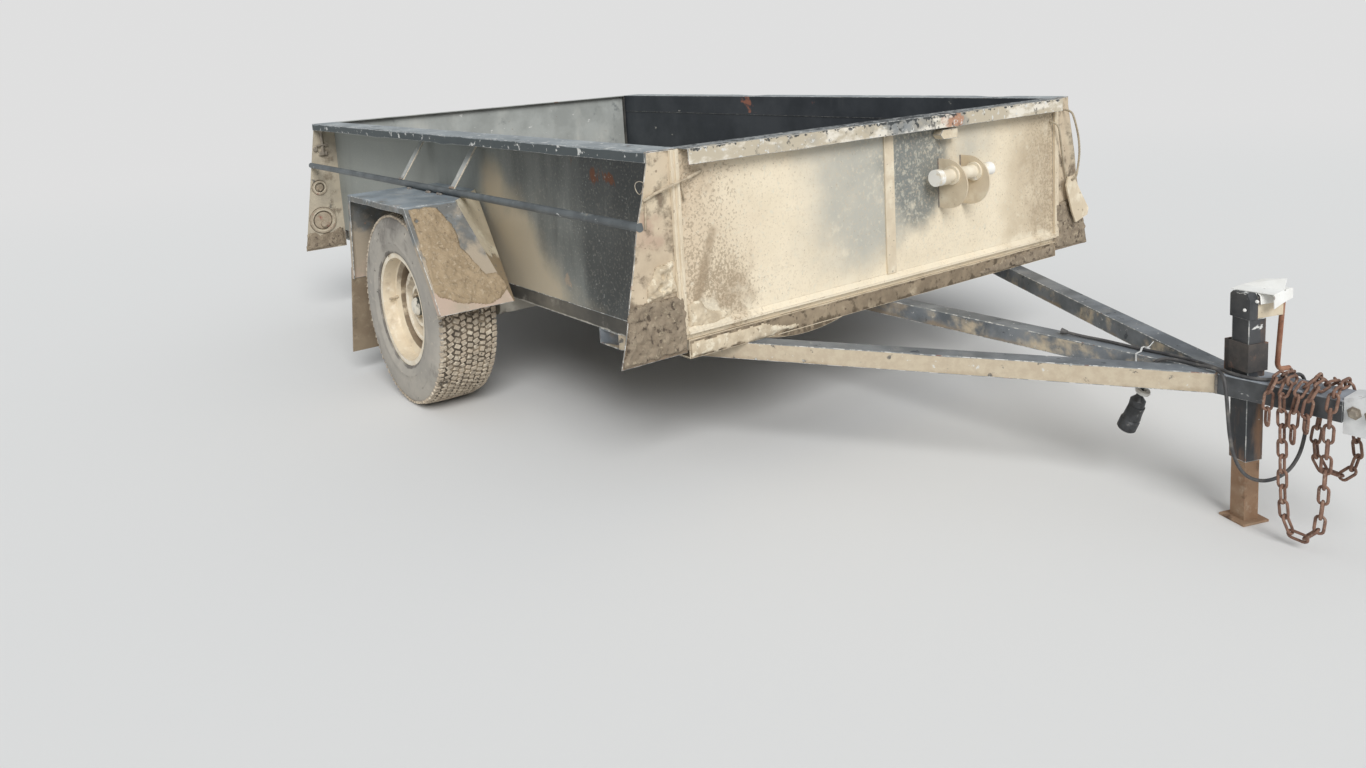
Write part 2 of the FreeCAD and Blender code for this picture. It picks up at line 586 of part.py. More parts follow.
# Wheels: hub, rim and tyre, each turned about the axle
def wheels():
    out = "-tyre_out"
    tyre = [
        (f"{out} + 20", "seat_radius"), (f"{out} + 20", "rim_radius"), (f"{out} + 12", "rim_radius + 10"),
        (f"{out} + 3", "rim_radius + 34"),
        (out, "rim_radius + 68"), (f"{out} + 5", "tyre_radius - 30"), (f"{out} + 20", "tyre_radius - 8"),
        (f"{out} + 42", "tyre_radius"), (f"{out} + tyre_width - 42", "tyre_radius"),
        (f"{out} + tyre_width - 20", "tyre_radius - 8"), (f"{out} + tyre_width - 5", "tyre_radius - 30"),
        (f"{out} + tyre_width", "rim_radius + 68"), (f"{out} + tyre_width - 3", "rim_radius + 34"),
        (f"{out} + tyre_width - 12", "rim_radius + 10"), (f"{out} + tyre_width - 20", "rim_radius"),
        (f"{out} + tyre_width - 20", "seat_radius"),
        (f"{out} + tyre_width - 36", "seat_radius"), (f"{out} + tyre_width - 10", "rim_radius + 50"),
        (f"{out} + tyre_width - 22", "tyre_radius - 34"), (f"{out} + tyre_width - 48", "tyre_radius - 18"),
        (f"{out} + 48", "tyre_radius - 18"), (f"{out} + 22", "tyre_radius - 34"),
        (f"{out} + 10", "rim_radius + 50"), (f"{out} + 36", "seat_radius"),
    ]
    edge_out = "-tyre_out + (tyre_width - rim_width) / 2"
    edge_in = f"{edge_out} + rim_width"
    rim = [
        (edge_out, "rim_radius"), (f"{edge_out} + rim_sheet", "rim_radius"),
        (f"{edge_out} + rim_sheet", "seat_radius"), (f"{edge_out} + 50", "seat_radius"),
        (f"{edge_out} + 62", "well_radius"), (f"{edge_in} - 70", "well_radius"),
        (f"{edge_in} - 54", "seat_radius"), (f"{edge_in} - rim_sheet", "seat_radius"),
        (f"{edge_in} - rim_sheet", "rim_radius"), (edge_in, "rim_radius"),
        (edge_in, "seat_radius - rim_sheet"), (f"{edge_in} - 51", "seat_radius - rim_sheet"),
        (f"{edge_in} - 67", "well_radius - rim_sheet"), ("-disc_y + 22", "well_radius - rim_sheet"),
        ("-disc_y - press_height + rim_sheet", "ridge_radius"),
        ("-disc_y + 2 * rim_sheet", "ridge_radius - 22"),
        ("-disc_y + 2 * rim_sheet", "crown_radius + 20"),
        ("-disc_y - press_height + rim_sheet", "crown_radius + 4"),
        ("-disc_y - press_height + rim_sheet", "crown_radius - 4"),
        ("-disc_y + rim_sheet", "crown_radius - 10"),
        ("-disc_y + rim_sheet", "hub_radius + 1"), ("-disc_y", "hub_radius + 1"),
        ("-disc_y", "crown_radius - 14"),
        ("-disc_y - press_height", "crown_radius - 8"), ("-disc_y - press_height", "crown_radius + 6"),
        ("-disc_y + rim_sheet", "crown_radius + 22"), ("-disc_y + rim_sheet", "ridge_radius - 24"),
        ("-disc_y - press_height", "ridge_radius - 4"), ("-disc_y - press_height", "ridge_radius + 6"),
        ("-disc_y + 14", "well_radius - rim_sheet"),
        (f"{edge_out} + 60", "well_radius - rim_sheet"), (f"{edge_out} + 48", "seat_radius - rim_sheet"),
        (edge_out, "seat_radius - rim_sheet"),
    ]
    bore = "spindle_radius + bearing_gap"
    nose = "-disc_y - cap_length"
    hub = [
        ("-disc_y + rim_sheet", bore), ("-disc_y + rim_sheet + hub_length", bore),
        ("-disc_y + rim_sheet + hub_length", "hub_radius"), ("-disc_y + rim_sheet + 14", "hub_radius"),
        ("-disc_y + rim_sheet + 14", "hub_flange"), ("-disc_y + rim_sheet", "hub_flange"),
        ("-disc_y + rim_sheet", "hub_radius - 2"), (f"{nose} + 12", "hub_radius - 6"),
        (f"{nose} + 3", "hub_radius - 14"),
        (nose, "hub_radius - 26"), (nose, "0"), (f"{nose} + 4", "0"), (f"{nose} + 4", bore),
    ]
    for name, profile in (("tyre", tyre), ("rim", rim), ("hub", hub)):
        piece = revolved(f"{name}_turned", profile, "axle_x", "tyre_radius")
        node(f"{name}_right", piece)
        node(f"{name}_left", mirrored(f"{name}_turned_left", piece))


# Drawbar: middle beam, two side beams and the tongue tube
def drawbar():
    half = "centre_beam_width / 2"
    section = [rectangle(f"-{half}", "beam_low", half, "frame_bottom"),
               rectangle(f"-{half} + beam_wall", "beam_low + beam_wall", f"{half} - beam_wall",
                         "frame_bottom - beam_wall")]
    node("drawbar_centre_beam", padded("centre_beam_tube", "YZ", section, "axle_x + centre_beam_rear",
                                       "apex - centre_beam_rear"))

    def along(y, inset):
        """X where a line set in from the side beam's outer edge crosses y, on the right-hand side."""
        return f"(apex_x + ({y} + tongue_width / 2 - ({inset}) / cos(drawbar_angle)) / tan(drawbar_angle))"

    side, inner = "-tub_half", "side_beam_width"
    outline = [("apex_x", "-tongue_width / 2"), ("apex_x", f"-{half}"),
               (along(f"-{half}", inner), f"-{half}"),
               (along(side, inner), side), (along(side, "0"), side)]
    outer = padded("side_beam_solid", "XY", [outline], "beam_low", "beam_height")
    lane = [(along(f"-{half} - beam_wall", "beam_wall"), f"-{half} - beam_wall"),
            (along(f"-{half} - beam_wall", f"{inner} - beam_wall"), f"-{half} - beam_wall"),
            (along(f"{side} - 1", f"{inner} - beam_wall"), f"{side} - 1"),
            (along(f"{side} - 1", "beam_wall"), f"{side} - 1")]
    hollow = padded("side_beam_hollow", "XY", [lane], "beam_low + beam_wall", "beam_height - 2 * beam_wall")
    node("drawbar_side_beams", pair("side_beam_pair", cut("side_beam_right", outer, hollow)))

    width = "tongue_width / 2"
    section = [rectangle(f"-{width}", "beam_low", width, "frame_bottom"),
               rectangle(f"-{width} + beam_wall", "beam_low + beam_wall", f"{width} - beam_wall",
                         "frame_bottom - beam_wall")]
    tube = padded("tongue_tube", "YZ", section, "apex_x", "tongue_length")
    node("tongue_head", cut("tongue_pierced", tube, turned_box("tongue_hole", "jack_side", "beam_low - 1",
                                                               "beam_height + 2")))


def turned_box(name, side, low, height, offset_x="0", offset_y="0", width=None):
    """An upright box on the jack's axis, turned with the jack. Offsets are in the jack's own directions."""
    width = width or side
    item = bind(doc.addObject("Part::Box", name), Length=side, Width=width, Height=height)
    across = f"({offset_x} - ({side}) / 2)"
    along = f"({offset_y} - ({width}) / 2)"
    place(item, f"jack_at + {across} * cos(jack_angle) - {along} * sin(jack_angle)",
          f"{across} * sin(jack_angle) + {along} * cos(jack_angle)", low)
    item.Placement.Rotation = Rotation(Vector(0, 0, 1), 1)
    return bind(item, Placement__Rotation__Angle="jack_angle")


def turned_profile(name, corners, start, depth):
    """A pad of an outline that stands across the jack's own direction, from start along it."""
    body = padded(name, "XZ", [corners], "0", depth)
    place(body, f"jack_at - ({start}) * sin(jack_angle)", f"({start}) * cos(jack_angle)")
    body.Placement.Rotation = Rotation(Vector(0, 0, 1), 1)
    return bind(body, Placement__Rotation__Angle="jack_angle")


# Jack: outer tube through the tongue, collar, gear head with its sheet cover, inner leg and foot
def jack():
    outer = turned_box("jack_outer", "jack_side", "jack_bottom", "jack_top - jack_bottom")
    inner = turned_box("jack_inner", "jack_side - 2 * jack_wall", "jack_bottom - 1",
                       "jack_top - jack_bottom + 2")
    node("jack_tube", cut("jack_sleeve", outer, inner))
    band = cut("collar_band", turned_box("collar_outer", "jack_side + 2 * collar_plate",
                                         "frame_bottom + collar_lift",
                                         "collar_height - collar_lift"),
               turned_box("collar_inner", "jack_side", "frame_bottom", "collar_height + 1"))
    behind = "-(jack_side + collar_pocket) / 2"
    pocket = cut("collar_pocket_tube", turned_box("collar_pocket_outer", "collar_pocket", "frame_bottom",
                                                  "collar_height - collar_plate", behind,
                                                  width="collar_width"),
                 turned_box("collar_pocket_inner", "collar_pocket - 2 * collar_plate", "frame_bottom - 1",
                            "collar_height + 2", behind, width="collar_width - 2 * collar_plate"))
    node("jack_collar", cut("collar_cleared", fused("collar_whole", [band, pocket]),
                            turned_box("collar_room", "jack_side", "frame_bottom - 1", "collar_height + 2")))
    half = "head_width / 2"
    top = "jack_top + head_height"
    end_block = [
        (f"-{half}", "jack_top"), (half, "jack_top"), (half, f"{top} - head_height / 4"),
        (f"{half} - head_height / 8", top), (f"-{half} + head_height / 8", top),
        (f"-{half}", f"{top} - head_height / 8"),
    ]
    body = rectangle("-head_body / 2", "jack_top", "head_body / 2", f"{top} - 2 * cover_sheet")
    side = "cover_width / 2"
    cover = [
        (f"-{side}", f"{top} - 4 * cover_sheet"), (f"-{side} + 3 * cover_sheet", top),
        (f"{side} - 3 * cover_sheet", top),
        (side, f"{top} - 3 * cover_sheet"), (f"{side} + cover_sheet", f"{top} - cover_drop"),
        (side, f"{top} - cover_drop"), (f"{side} - cover_sheet", f"{top} - 4 * cover_sheet"),
        (f"{side} - 4 * cover_sheet", f"{top} - 2 * cover_sheet"),
        (f"-{side} + 4 * cover_sheet", f"{top} - 2 * cover_sheet"),
    ]
    start = "head_offset - head_length / 2"
    node("jack_head", fused("jack_gearbox", [
        turned_profile("gearbox_end", end_block, start, "head_end"),
        turned_profile("gearbox_body", body, f"{start} + head_end", "head_length - head_end"),
        turned_profile("gearbox_cover", cover, f"{start} + head_end", "head_length - head_end")]))
    leg_side = "(jack_side - 2 * jack_wall - 2 * jack_gap)"
    leg = turned_box("leg_outer", leg_side, "foot_plate", "leg_top - foot_plate")
    bore = turned_box("leg_inner", f"{leg_side} - 2 * jack_wall", "foot_plate - 1",
                      "leg_top - foot_plate + 2")
    node("jack_leg", cut("leg_tube", leg, bore))
    node("jack_foot", turned_box("foot_sheet", "foot_side", "0", "foot_plate"))


# Front panel's two ears and the bar through them
def bar_and_ears():
    ears, washers = [], []
    across = Vector(0, 1, 0)
    middle = "(bar_z - ear_drop)"
    for name, at in (("ear_right", "ear_right_y"), ("ear_left", "ear_left_y")):
        start = f"{at} - ear_plate / 2"
        plate = fused(f"{name}_plate", [
            box(f"{name}_straight", "ear_straight", "ear_plate", "2 * ear_radius", "front_x", start,
                f"{middle} - ear_radius"),
            rod(f"{name}_round", "ear_radius", "ear_plate", "front_x + ear_straight", start, middle, across)])
        front = box(f"{name}_front", "ear_straight + ear_radius", "ear_plate", "2 * ear_radius", "front_x",
                    start,
                    f"{middle} - ear_radius")
        hole = rod(f"{name}_hole", "bar_radius", "ear_plate + 2", "front_x + bar_x", f"{start} - 1", "bar_z",
                   across)
        ears.append(cut(f"{name}_bored", common(f"{name}_outline", plate, front), hole))
        washers.append(rod(f"{name}_washer", "collar_radius", "collar_length", "front_x + bar_x",
                           f"{start} - collar_length", "bar_z", across))
    node("panel_ears", group("ear_pair", ears))
    core = rod("panel_round_bar", "bar_radius", "bar_length", "front_x + bar_x", "bar_start", "bar_z", across)
    sleeve = rod("bar_sleeve", "sleeve_radius", "sleeve_length", "front_x + bar_x", "bar_start", "bar_z",
                 across)
    inner = "bar_start + sleeve_length + 1"
    slant = padded("sleeve_slant_cut", "YZ", [[
        (f"{inner} - sleeve_slant", "bar_z + sleeve_radius + 1"), (inner, "bar_z + sleeve_radius + 1"),
        (inner, "bar_z - sleeve_radius - 1")]], "front_x + bar_x - sleeve_radius - 1",
        "2 * sleeve_radius + 2")
    node("panel_bar", fused("bar_with_sleeve", [cut("sleeve_slanted", sleeve, slant), core] + washers))


# Tailgate between the rear wings, on three hinges below its bottom edge
def tailgate():
    half = "tub_half - 2 * wall - gate_gap"
    sheet = [
        ("rear_x", "gate_low"), ("rear_x + gate_lip", "gate_low"),
        ("rear_x + gate_lip", "gate_low + gate_plate"),
        ("rear_x + gate_plate", "gate_low + gate_plate"), ("rear_x + gate_plate", "tub_top - gate_plate"),
        ("rear_x + gate_lip", "tub_top - gate_plate"), ("rear_x + gate_lip", "tub_top"),
        ("rear_x", "tub_top"),
    ]
    panel = padded("gate_sheet", "XZ", [sheet], f"-({half})", f"2 * ({half})")
    leaves, pins, mates = [], [], []
    across = Vector(0, 1, 0)
    bore = "hinge_pin + hinge_gap"
    for index, at in enumerate(("-hinge_y", "0", "hinge_y")):
        start = f"{at} - hinge_length / 2"
        strap = padded(f"gate_leaf_{index}", "XZ", [[
            ("hinge_x", "hinge_z + hinge_radius - leaf_plate"), ("hinge_x", "hinge_z + hinge_radius"),
            ("rear_x - 2 * leaf_plate", "hinge_z + hinge_radius"),
            ("rear_x - 2 * leaf_plate", "gate_low + leaf_height"),
            ("rear_x", "gate_low + leaf_height"), ("rear_x", "gate_low"), ("rear_x - leaf_plate", "gate_low"),
            ("rear_x - leaf_plate", "hinge_z + hinge_radius - leaf_plate")]], start, "hinge_length")
        barrel = rod(f"gate_barrel_{index}", "hinge_radius", "hinge_length", "hinge_x", start, "hinge_z",
                     across)
        leaf = fused(f"gate_hinge_{index}", [strap, barrel])
        leaves.append(cut(f"gate_hinge_bored_{index}", leaf, rod(
            f"gate_bore_{index}", bore, "hinge_length + 2", "hinge_x", f"{start} - 1", "hinge_z", across)))
        for side, shift in (("a", f"{start} - hinge_length - 2"), ("b", f"{start} + hinge_length + 2")):
            block = padded(f"sill_leaf_{index}{side}", "XZ", [[
                ("hinge_x", "hinge_z - hinge_radius"), ("rear_x", "hinge_z - hinge_radius"),
                ("rear_x", "hinge_z"), ("hinge_x", "hinge_z + hinge_radius - leaf_plate")]], shift,
                "hinge_length")
            ring = rod(f"sill_barrel_{index}{side}", "hinge_radius", "hinge_length", "hinge_x", shift,
                       "hinge_z", across)
            knuckle = fused(f"sill_knuckle_{index}{side}", [block, ring])
            mates.append(cut(f"sill_knuckle_bored_{index}{side}", knuckle, rod(
                f"sill_bore_{index}{side}", "hinge_pin", "hinge_length + 2", "hinge_x", f"{shift} - 1",
                "hinge_z", across)))
        pins.append(rod(f"hinge_pin_{index}", "hinge_pin", "3 * hinge_length + 12", "hinge_x",
                        f"{at} - 1.5 * hinge_length - 6", "hinge_z", across))
    node("tailgate", fused("gate_with_hinges", [panel] + leaves))
    node("hinge_knuckles", group("sill_knuckles", mates))
    node("hinge_pins", group("hinge_pin_set", pins))


# Coupler: hollow body over a shank, with a ball socket open below
def coupler():
    node("coupler_shank", box("shank_block", "shank_length", "shank_width", "beam_height",
                              "tongue_end", "-shank_width / 2", "beam_low"))
    side = [
        ("tongue_end", "coupler_low"), ("tongue_end", "frame_bottom + 6"),
        ("tongue_end + 30", "frame_bottom + 10"),
        ("tongue_end + 60", "coupler_high - 6"), ("socket_x - 20", "coupler_high"),
        ("socket_x + 18", "coupler_high - 8"),
        ("nose_x - 6", "frame_bottom - 6"), ("nose_x", "beam_low + 12"), ("nose_x - 8", "coupler_low"),
    ]
    profile = padded("coupler_side", "XZ", [side], "-coupler_width / 2", "coupler_width")
    plan = fused("coupler_plan", [
        box("coupler_straight", "coupler_length - socket_inset", "coupler_width", "coupler_high",
            "tongue_end", "-coupler_width / 2", "0"),
        rod("coupler_nose", "socket_inset", "coupler_high", "socket_x", "0", "0")])
    body = common("coupler_form", profile, plan)
    room = box("coupler_room", "shank_length + coupler_gap", "shank_width + 2 * coupler_gap",
               "beam_height + coupler_gap + beam_low - coupler_low + 1",
               "tongue_end", "-shank_width / 2 - coupler_gap", "coupler_low - 1")
    socket = rod("coupler_socket", "socket_radius", "socket_wall + 1", "socket_x", "0", "coupler_low - 1")
    dome = bind(doc.addObject("Part::Sphere", "coupler_dome"), Radius="socket_radius")
    place(dome, "socket_x", "0", "coupler_low + socket_wall")
    node("coupler_body", cut("coupler_bored", body, fused("coupler_hollows", [room, socket, dome])))
    latch = [
        ("tongue_end + 66", "coupler_high"), ("socket_x - 22", "coupler_high"),
        ("socket_x - 8", "coupler_high + 14"),
        ("socket_x + 20", "coupler_high + 20"), ("socket_x + 20", "coupler_high + 26"),
        ("socket_x - 14", "coupler_high + 22"), ("tongue_end + 66", "coupler_high + 10"),
    ]
    node("coupler_latch", padded("latch_lever", "XZ", [latch], "-14", "28"))


# Tail lamps and marker lamps, each set through the rear wing in a rubber grommet
def lamps():
    lamps_right = []
    along = Vector(1, 0, 0)
    face = "rear_x + wing_plate"
    # Columns: name, height, lens radius, depth behind the wing, hole radius, grommet radius
    for name, height, lens, depth, hole, lip in (
            ("lamp", "lamp_z", "lamp_radius", "lamp_depth", "lamp_hole", "lamp_lip"),
            ("marker", "marker_z", "marker_radius", "marker_depth", "marker_hole", "marker_lip")):
        ring = cut(f"{name}_ring", rod(f"{name}_lip", lip, "lip_height", face, "-lamp_y", height, along),
                   rod(f"{name}_lip_room", f"{hole} - 4", "lip_height + 2", f"{face} - 1", "-lamp_y", height,
                       along))
        lamps_right.append(fused(f"{name}_right", [
            rod(f"{name}_lens", lens, depth, f"rear_x - {depth}", "-lamp_y", height, along),
            rod(f"{name}_core", hole, "wing_plate", "rear_x", "-lamp_y", height, along),
            rod(f"{name}_socket", f"{hole} / 4", "2 * lip_height", face, "-lamp_y", f"{height} - {hole} / 3",
                along),
            ring]))
    lamps_left = [mirrored(f"{item.Name}_left", item) for item in lamps_right]
    node("tail_lamps", group("lamp_set", lamps_right + lamps_left))


def size(name):
    """A driving size as a number."""
    return float(getattr(sizes, name))


AXLE_X = (size("tub_length") - size("tub_front") + size("hinge_back") + size("hinge_radius")
          - size("apex") - size("tongue_length") - size("coupler_length")) / 2
JACK_AXIS = Vector(AXLE_X + size("jack_x"), 0, 0)
JACK_ALONG = Vector(-math.sin(math.radians(size("jack_angle"))), math.cos(math.radians(size("jack_angle"))),
                    0)


def shaped(name, shape):
    """A sub-part whose shape is worked out here."""
    item = doc.addObject("Part::Feature", f"{name}_shape")
    item.Shape = shape
    return node(name, item)


def route(points, share=0.45):
    """Straight runs joined by tangent arcs, each arc as large as its two runs allow.

    Each span is (start, end, None) for a run, or (start, end, (centre, axis, degrees)) for an arc.
    """
    spans, radii = [], []
    last = points[0]
    for before, corner, after in zip(points, points[1:], points[2:]):
        into, out = (corner - before), (after - corner)
        shorter = share * min(into.Length, out.Length)
        into.normalize()
        out.normalize()
        turn = into.getAngle(out)
        radius = shorter / math.tan(turn / 2)
        start, end = corner - into * shorter, corner + out * shorter
        centre = corner + (out - into).normalize() * (radius / math.cos(turn / 2))
        spans += [(last, start, None), (start, end, (centre, into.cross(out), math.degrees(turn)))]
        radii.append(radius)
        last = end
    spans.append((last, points[-1], None))
    return spans, radii


def bar_along(points, radius):
    """A round bar along a route of points, with its bend radii and its length."""
    spans, radii = route(points)
    heading = (points[1] - points[0]).normalize()
    ring = Part.makeCircle(radius, points[0], heading)
    faces, length = [Part.Face(Part.Wire(ring))], 0
    for start, end, bend in spans:
        if bend is None:
            faces.append(ring.extrude(end - start))
            ring = ring.translated(end - start)
            length += (end - start).Length
        else:
            centre, axis, angle = bend
            faces.append(ring.revolve(centre, axis, angle))
            ring = ring.rotated(centre, axis, angle)
            length += (start - centre).Length * math.radians(angle)
    faces.append(Part.Face(Part.Wire(ring)))
    skin = Part.makeCompound(faces)
    skin.sewShape()
    solid = Part.Solid(skin.Shells[0])
    solid.fix(0.001, 0.001, 0.001)
    return solid, radii, length


def walked(points, steps):
    """Joints along lines through the points, each the next straight step from the last."""
    joints, start, corner = [points[0]], points[0], 1
    for step in steps:
        while corner < len(points) and (points[corner] - joints[-1]).Length < step:
            start = points[corner]
            corner += 1
        if corner == len(points):
            break
        run = points[corner] - start
        reach = (start - joints[-1]).dot(run) / run.dot(run)
        spare = (start - joints[-1]).dot(start - joints[-1]) - step ** 2
        joints.append(start + run * (-reach + math.sqrt(reach ** 2 - spare / run.dot(run))))
    return joints


# Crank: a bent bar that hangs from the gear head
def crank():
    z = size("jack_top") + size("crank_lift")
    face = size("head_offset") + size("head_length") / 2
    side = Vector(JACK_ALONG.y, -JACK_ALONG.x, 0)

    def at(along, ahead, height):
        return JACK_AXIS + JACK_ALONG * along + side * ahead + Vector(0, 0, height)

    points = [at(face, 0, z), at(face + 24, 0, z), at(face + 26, -14, z - size("crank_drop")),
              at(face + size("crank_grip"), -20, z - size("crank_drop") - 4)]
    bar, _, _ = bar_along(points, size("crank_radius"))
    shaped("jack_crank", bar)


# Safety chains: links threaded through each other, laid over the tongue and hanging in a loop beside it.
# Columns: ahead of the axle, from the middle plane, height.
CHAIN_ROUTES = {
    "chain_right": [(2461, -8, 377.9), (2459, -45, 380.5), (2458, -66, 349), (2466, -66, 120),
                    (2472, -66, 60.6),
                    (2490, -66, 29.5), (2526, -66, 29.5), (2544, -66, 60.6), (2550, -66, 120),
                    (2558, -66, 349),
                    (2557, -45, 380.5), (2555, -8, 377.9)],
    "chain_left": [(2497, 8, 377.9), (2495, 45, 380.5), (2494, 66, 349), (2482, 66, 247.5), (2474, 66, 187.5),
                   (2498, 66, 146), (2546, 66, 146), (2570, 66, 187.5), (2562, 66, 247.5), (2550, 66, 349),
                   (2549, 45, 380.5), (2547, 8, 377.9)],
}


def room_past(bend):
    """Distance between the middles of two links' end bars where the links meet at a bend."""
    return size("chain_wire") / 2 * (1 + math.cos(bend) + math.sin(bend)) + size("chain_play")


def jointed(points):
    """Joints of a chain and how far each link's end bars lie past them.

    At a joint the link that lies across the bend has its bar at the joint, and the other one's bar lies past it.
    Above the bend line the chain turns round the tongue's edge, and below it the chain turns in its own loop.
    """
    bend_line = size("frame_bottom") - 30
    whole = size("chain_pitch") + room_past(0)
    near, far = [room_past(0)] * 80, [room_past(0)] * 80
    for _ in range(16):
        joints = walked(points, [whole - first - last for first, last in zip(near, far)])
        for index in range(1, len(joints) - 1):
            bend = (joints[index] - joints[index - 1]).getAngle(joints[index + 1] - joints[index])
            after_lies_across = (index % 2 == 1) == (joints[index].z > bend_line)
            near[index] = 0.0 if after_lies_across else room_past(bend)
            far[index - 1] = room_past(bend) if after_lies_across else 0.0
    return joints, near, far


def link(centre, along, across):
    """One chain link: a bar bent round a long loop with eight corners."""
    wire_size = size("chain_wire")
    long_half = (size("chain_pitch") + room_past(0)) / 2
    wide_half = size("chain_inner") / 2 + wire_size / 2
    normal = along.cross(across)
    outline = [(long_half, wide_half * 0.85), (long_half * 0.9, wide_half), (-long_half * 0.9, wide_half),
               (-long_half, wide_half * 0.85), (-long_half, -wide_half * 0.85),
               (-long_half * 0.9, -wide_half),
               (long_half * 0.9, -wide_half), (long_half, -wide_half * 0.85)]
    solids = []
    for grow in (wire_size / 2, -wire_size / 2):
        stretch = (long_half + grow) / long_half
        widen = (wide_half + grow) / wide_half
        corners = [centre + along * (x * stretch) + across * (y * widen) - normal * (wire_size / 2)
                   for x, y in outline]
        solids.append(Part.Face(Part.makePolygon(corners + corners[:1])).extrude(normal * wire_size))
    return solids[0].cut(solids[1])


def chain_links(points):
    """The links of a chain along the points, turned a quarter from one to the next."""
    joints, near, far = jointed(points)
    links, side = [], Vector(1, 0, 0)
    for index, (start, end) in enumerate(zip(joints, joints[1:])):
        along = (end - start).normalize()
        side = (side - along * side.dot(along)).normalize()
        centre = (start + end) / 2 + along * ((far[index] - near[index]) / 2)
        links.append(link(centre, along, side if index % 2 else along.cross(side)))
    return links


def chains():
    for name, table in CHAIN_ROUTES.items():
        shaped(name, Part.makeCompound(chain_links([Vector(AXLE_X + x, y, z) for x, y, z in table])))


# Lighting cable: out of a grommet on the middle beam, along the tongue, down in a loop past the jack,
# back over the tongue and down between the beams to its plug.
# Columns: ahead of the axle, from the middle plane, height.
CABLE_ROUTE = [
    (1876, -4, 374), (1915, 2, 370), (1965, 9, 369), (2020, 7, 369), (2080, 1, 369), (2140, 5, 369),
    (2200, 3, 369),
    (2255, -8, 369), (2300, -24, 369), (2340, -38, 369), (2378, -39, 369), (2408, -28, 369), (2428, -2, 370),
    (2438, 30, 374), (2447, 64, 371), (2452, 75, 330), (2456, 70, 280), (2458, 62, 225), (2454, 40, 172),
    (2440, 4, 136), (2412, -36, 122), (2382, -62, 134), (2362, -72, 170), (2350, -74, 220), (2343, -72, 275),
    (2337, -69, 328), (2326, -60, 366), (2302, -45, 376), (2270, -35, 372), (2234, -28, 369),
    (2198, -28, 371),
    (2164, -40, 372), (2142, -56, 352), (2131, -61, 318), (2124, -62, 290),
]


def cable():
    points = [Vector(AXLE_X + x, y, z) for x, y, z in CABLE_ROUTE]
    tube, radii, length = bar_along(points, size("cable_radius"))
    shaped("lighting_cable", tube)
    print("lighting cable: length", round(length), "tightest bend", round(min(radii)))
    start, heading = points[0], (points[1] - points[0]).normalize()
    foot = start - heading * size("gland_length")
    gland = Part.makeCone(size("gland_radius"), size("cable_radius") + 1.5, size("gland_length"), foot,
                          heading)
    beam_top = size("frame_bottom")
    room = 4 * size("gland_length")
    below = Part.makeBox(room, room, room, Vector(foot.x - room / 2, foot.y - room / 2, beam_top - room))
    shaped("cable_gland", gland.cut(below))
    end, away = points[-1], (points[-1] - points[-2]).normalize()
    radius, whole = size("plug_radius"), size("plug_length")
    profile = [(0, 0), (size("cable_radius") + 2, 0), (size("cable_radius") + 4, 22), (radius, 34),
               (radius, whole),
               (radius - 4, whole), (radius - 4, whole - 18), (0, whole - 18)]
    side = away.cross(Vector(0, 1, 0)).normalize()
    corners = [end + side * across + away * along for across, along in profile]
    face = Part.Face(Part.makePolygon(corners + corners[:1]))
    shaped("cable_plug", face.revolve(end, away, 360))


# Rope on the left front wing: out of the wing, down through a hanging plate's hole and up to the front panel.
# Columns: ahead of the front panel, left of the side wall, height.
ROPE_ROUTE = [
    (0, 60, 899), (37, 60, 899), (42, 76, 858), (42, 98, 800), (43, 104, 745), (44, 94, 694), (44, 77, 640),
    (7, 77, 640), (9, 58, 692), (15, 36, 745), (26, 8, 802), (36, -18, 860), (0, -18, 860),
]
# Outline of the hanging plate. Columns: left of the side wall, height.
TAG_OUTLINE = [(58, 652), (90, 654), (131, 592), (185, 520), (177, 496), (103, 477), (79, 520), (44, 622)]


def rope():
    front, side = AXLE_X + size("tub_front"), size("tub_half")
    points = [Vector(front + x, side + y, z) for x, y, z in ROPE_ROUTE]
    tube, radii, length = bar_along(points, size("rope_radius"))
    shaped("wing_rope", tube)
    print("wing rope: length", round(length), "tightest bend", round(min(radii)))
    lowest = [point for point in points if point.z == min(corner.z for corner in points)]
    hole = (lowest[0] + lowest[1]) / 2
    back = hole.x - size("tag_plate") / 2
    corners = [Vector(back, side + y, z) for y, z in TAG_OUTLINE]
    plate = Part.Face(Part.makePolygon(corners + corners[:1])).extrude(Vector(size("tag_plate"), 0, 0))
    bore = Part.makeCylinder(size("rope_radius") + size("tag_gap"), size("tag_plate") + 2,
                             Vector(back - 1, hole.y, hole.z), Vector(1, 0, 0))
    shaped("wing_tag", plate.cut(bore))


for build in (chassis, tub, wings, mudguards, axle, wheels, drawbar, jack, bar_and_ears, tailgate, coupler,
              lamps, crank, chains, cable, rope):
    build()
doc.recompute()

for item in doc.Objects:
    if any(word in item.State for word in ("Invalid", "Error")):
        raise RuntimeError(f"{item.Name} failed: {item.State}")
for name, item in nodes.items():
    if item.Shape.isNull() or not item.Shape.isValid() or not item.Shape.Solids:
        raise RuntimeError(f"{name} has no valid shape")

os.makedirs("parts", exist_ok=True)
for name, item in nodes.items():
    item.Shape.exportStep(f"parts/{name}.step")
print(len(nodes), "sub-parts written")
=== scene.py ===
"""Looks of a single-axle box trailer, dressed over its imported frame."""

import logging
import math
from dataclasses import dataclass
from enum import Enum
from random import Random

import bmesh
import bpy
import numpy as np
from mathutils import Matrix, Vector, noise

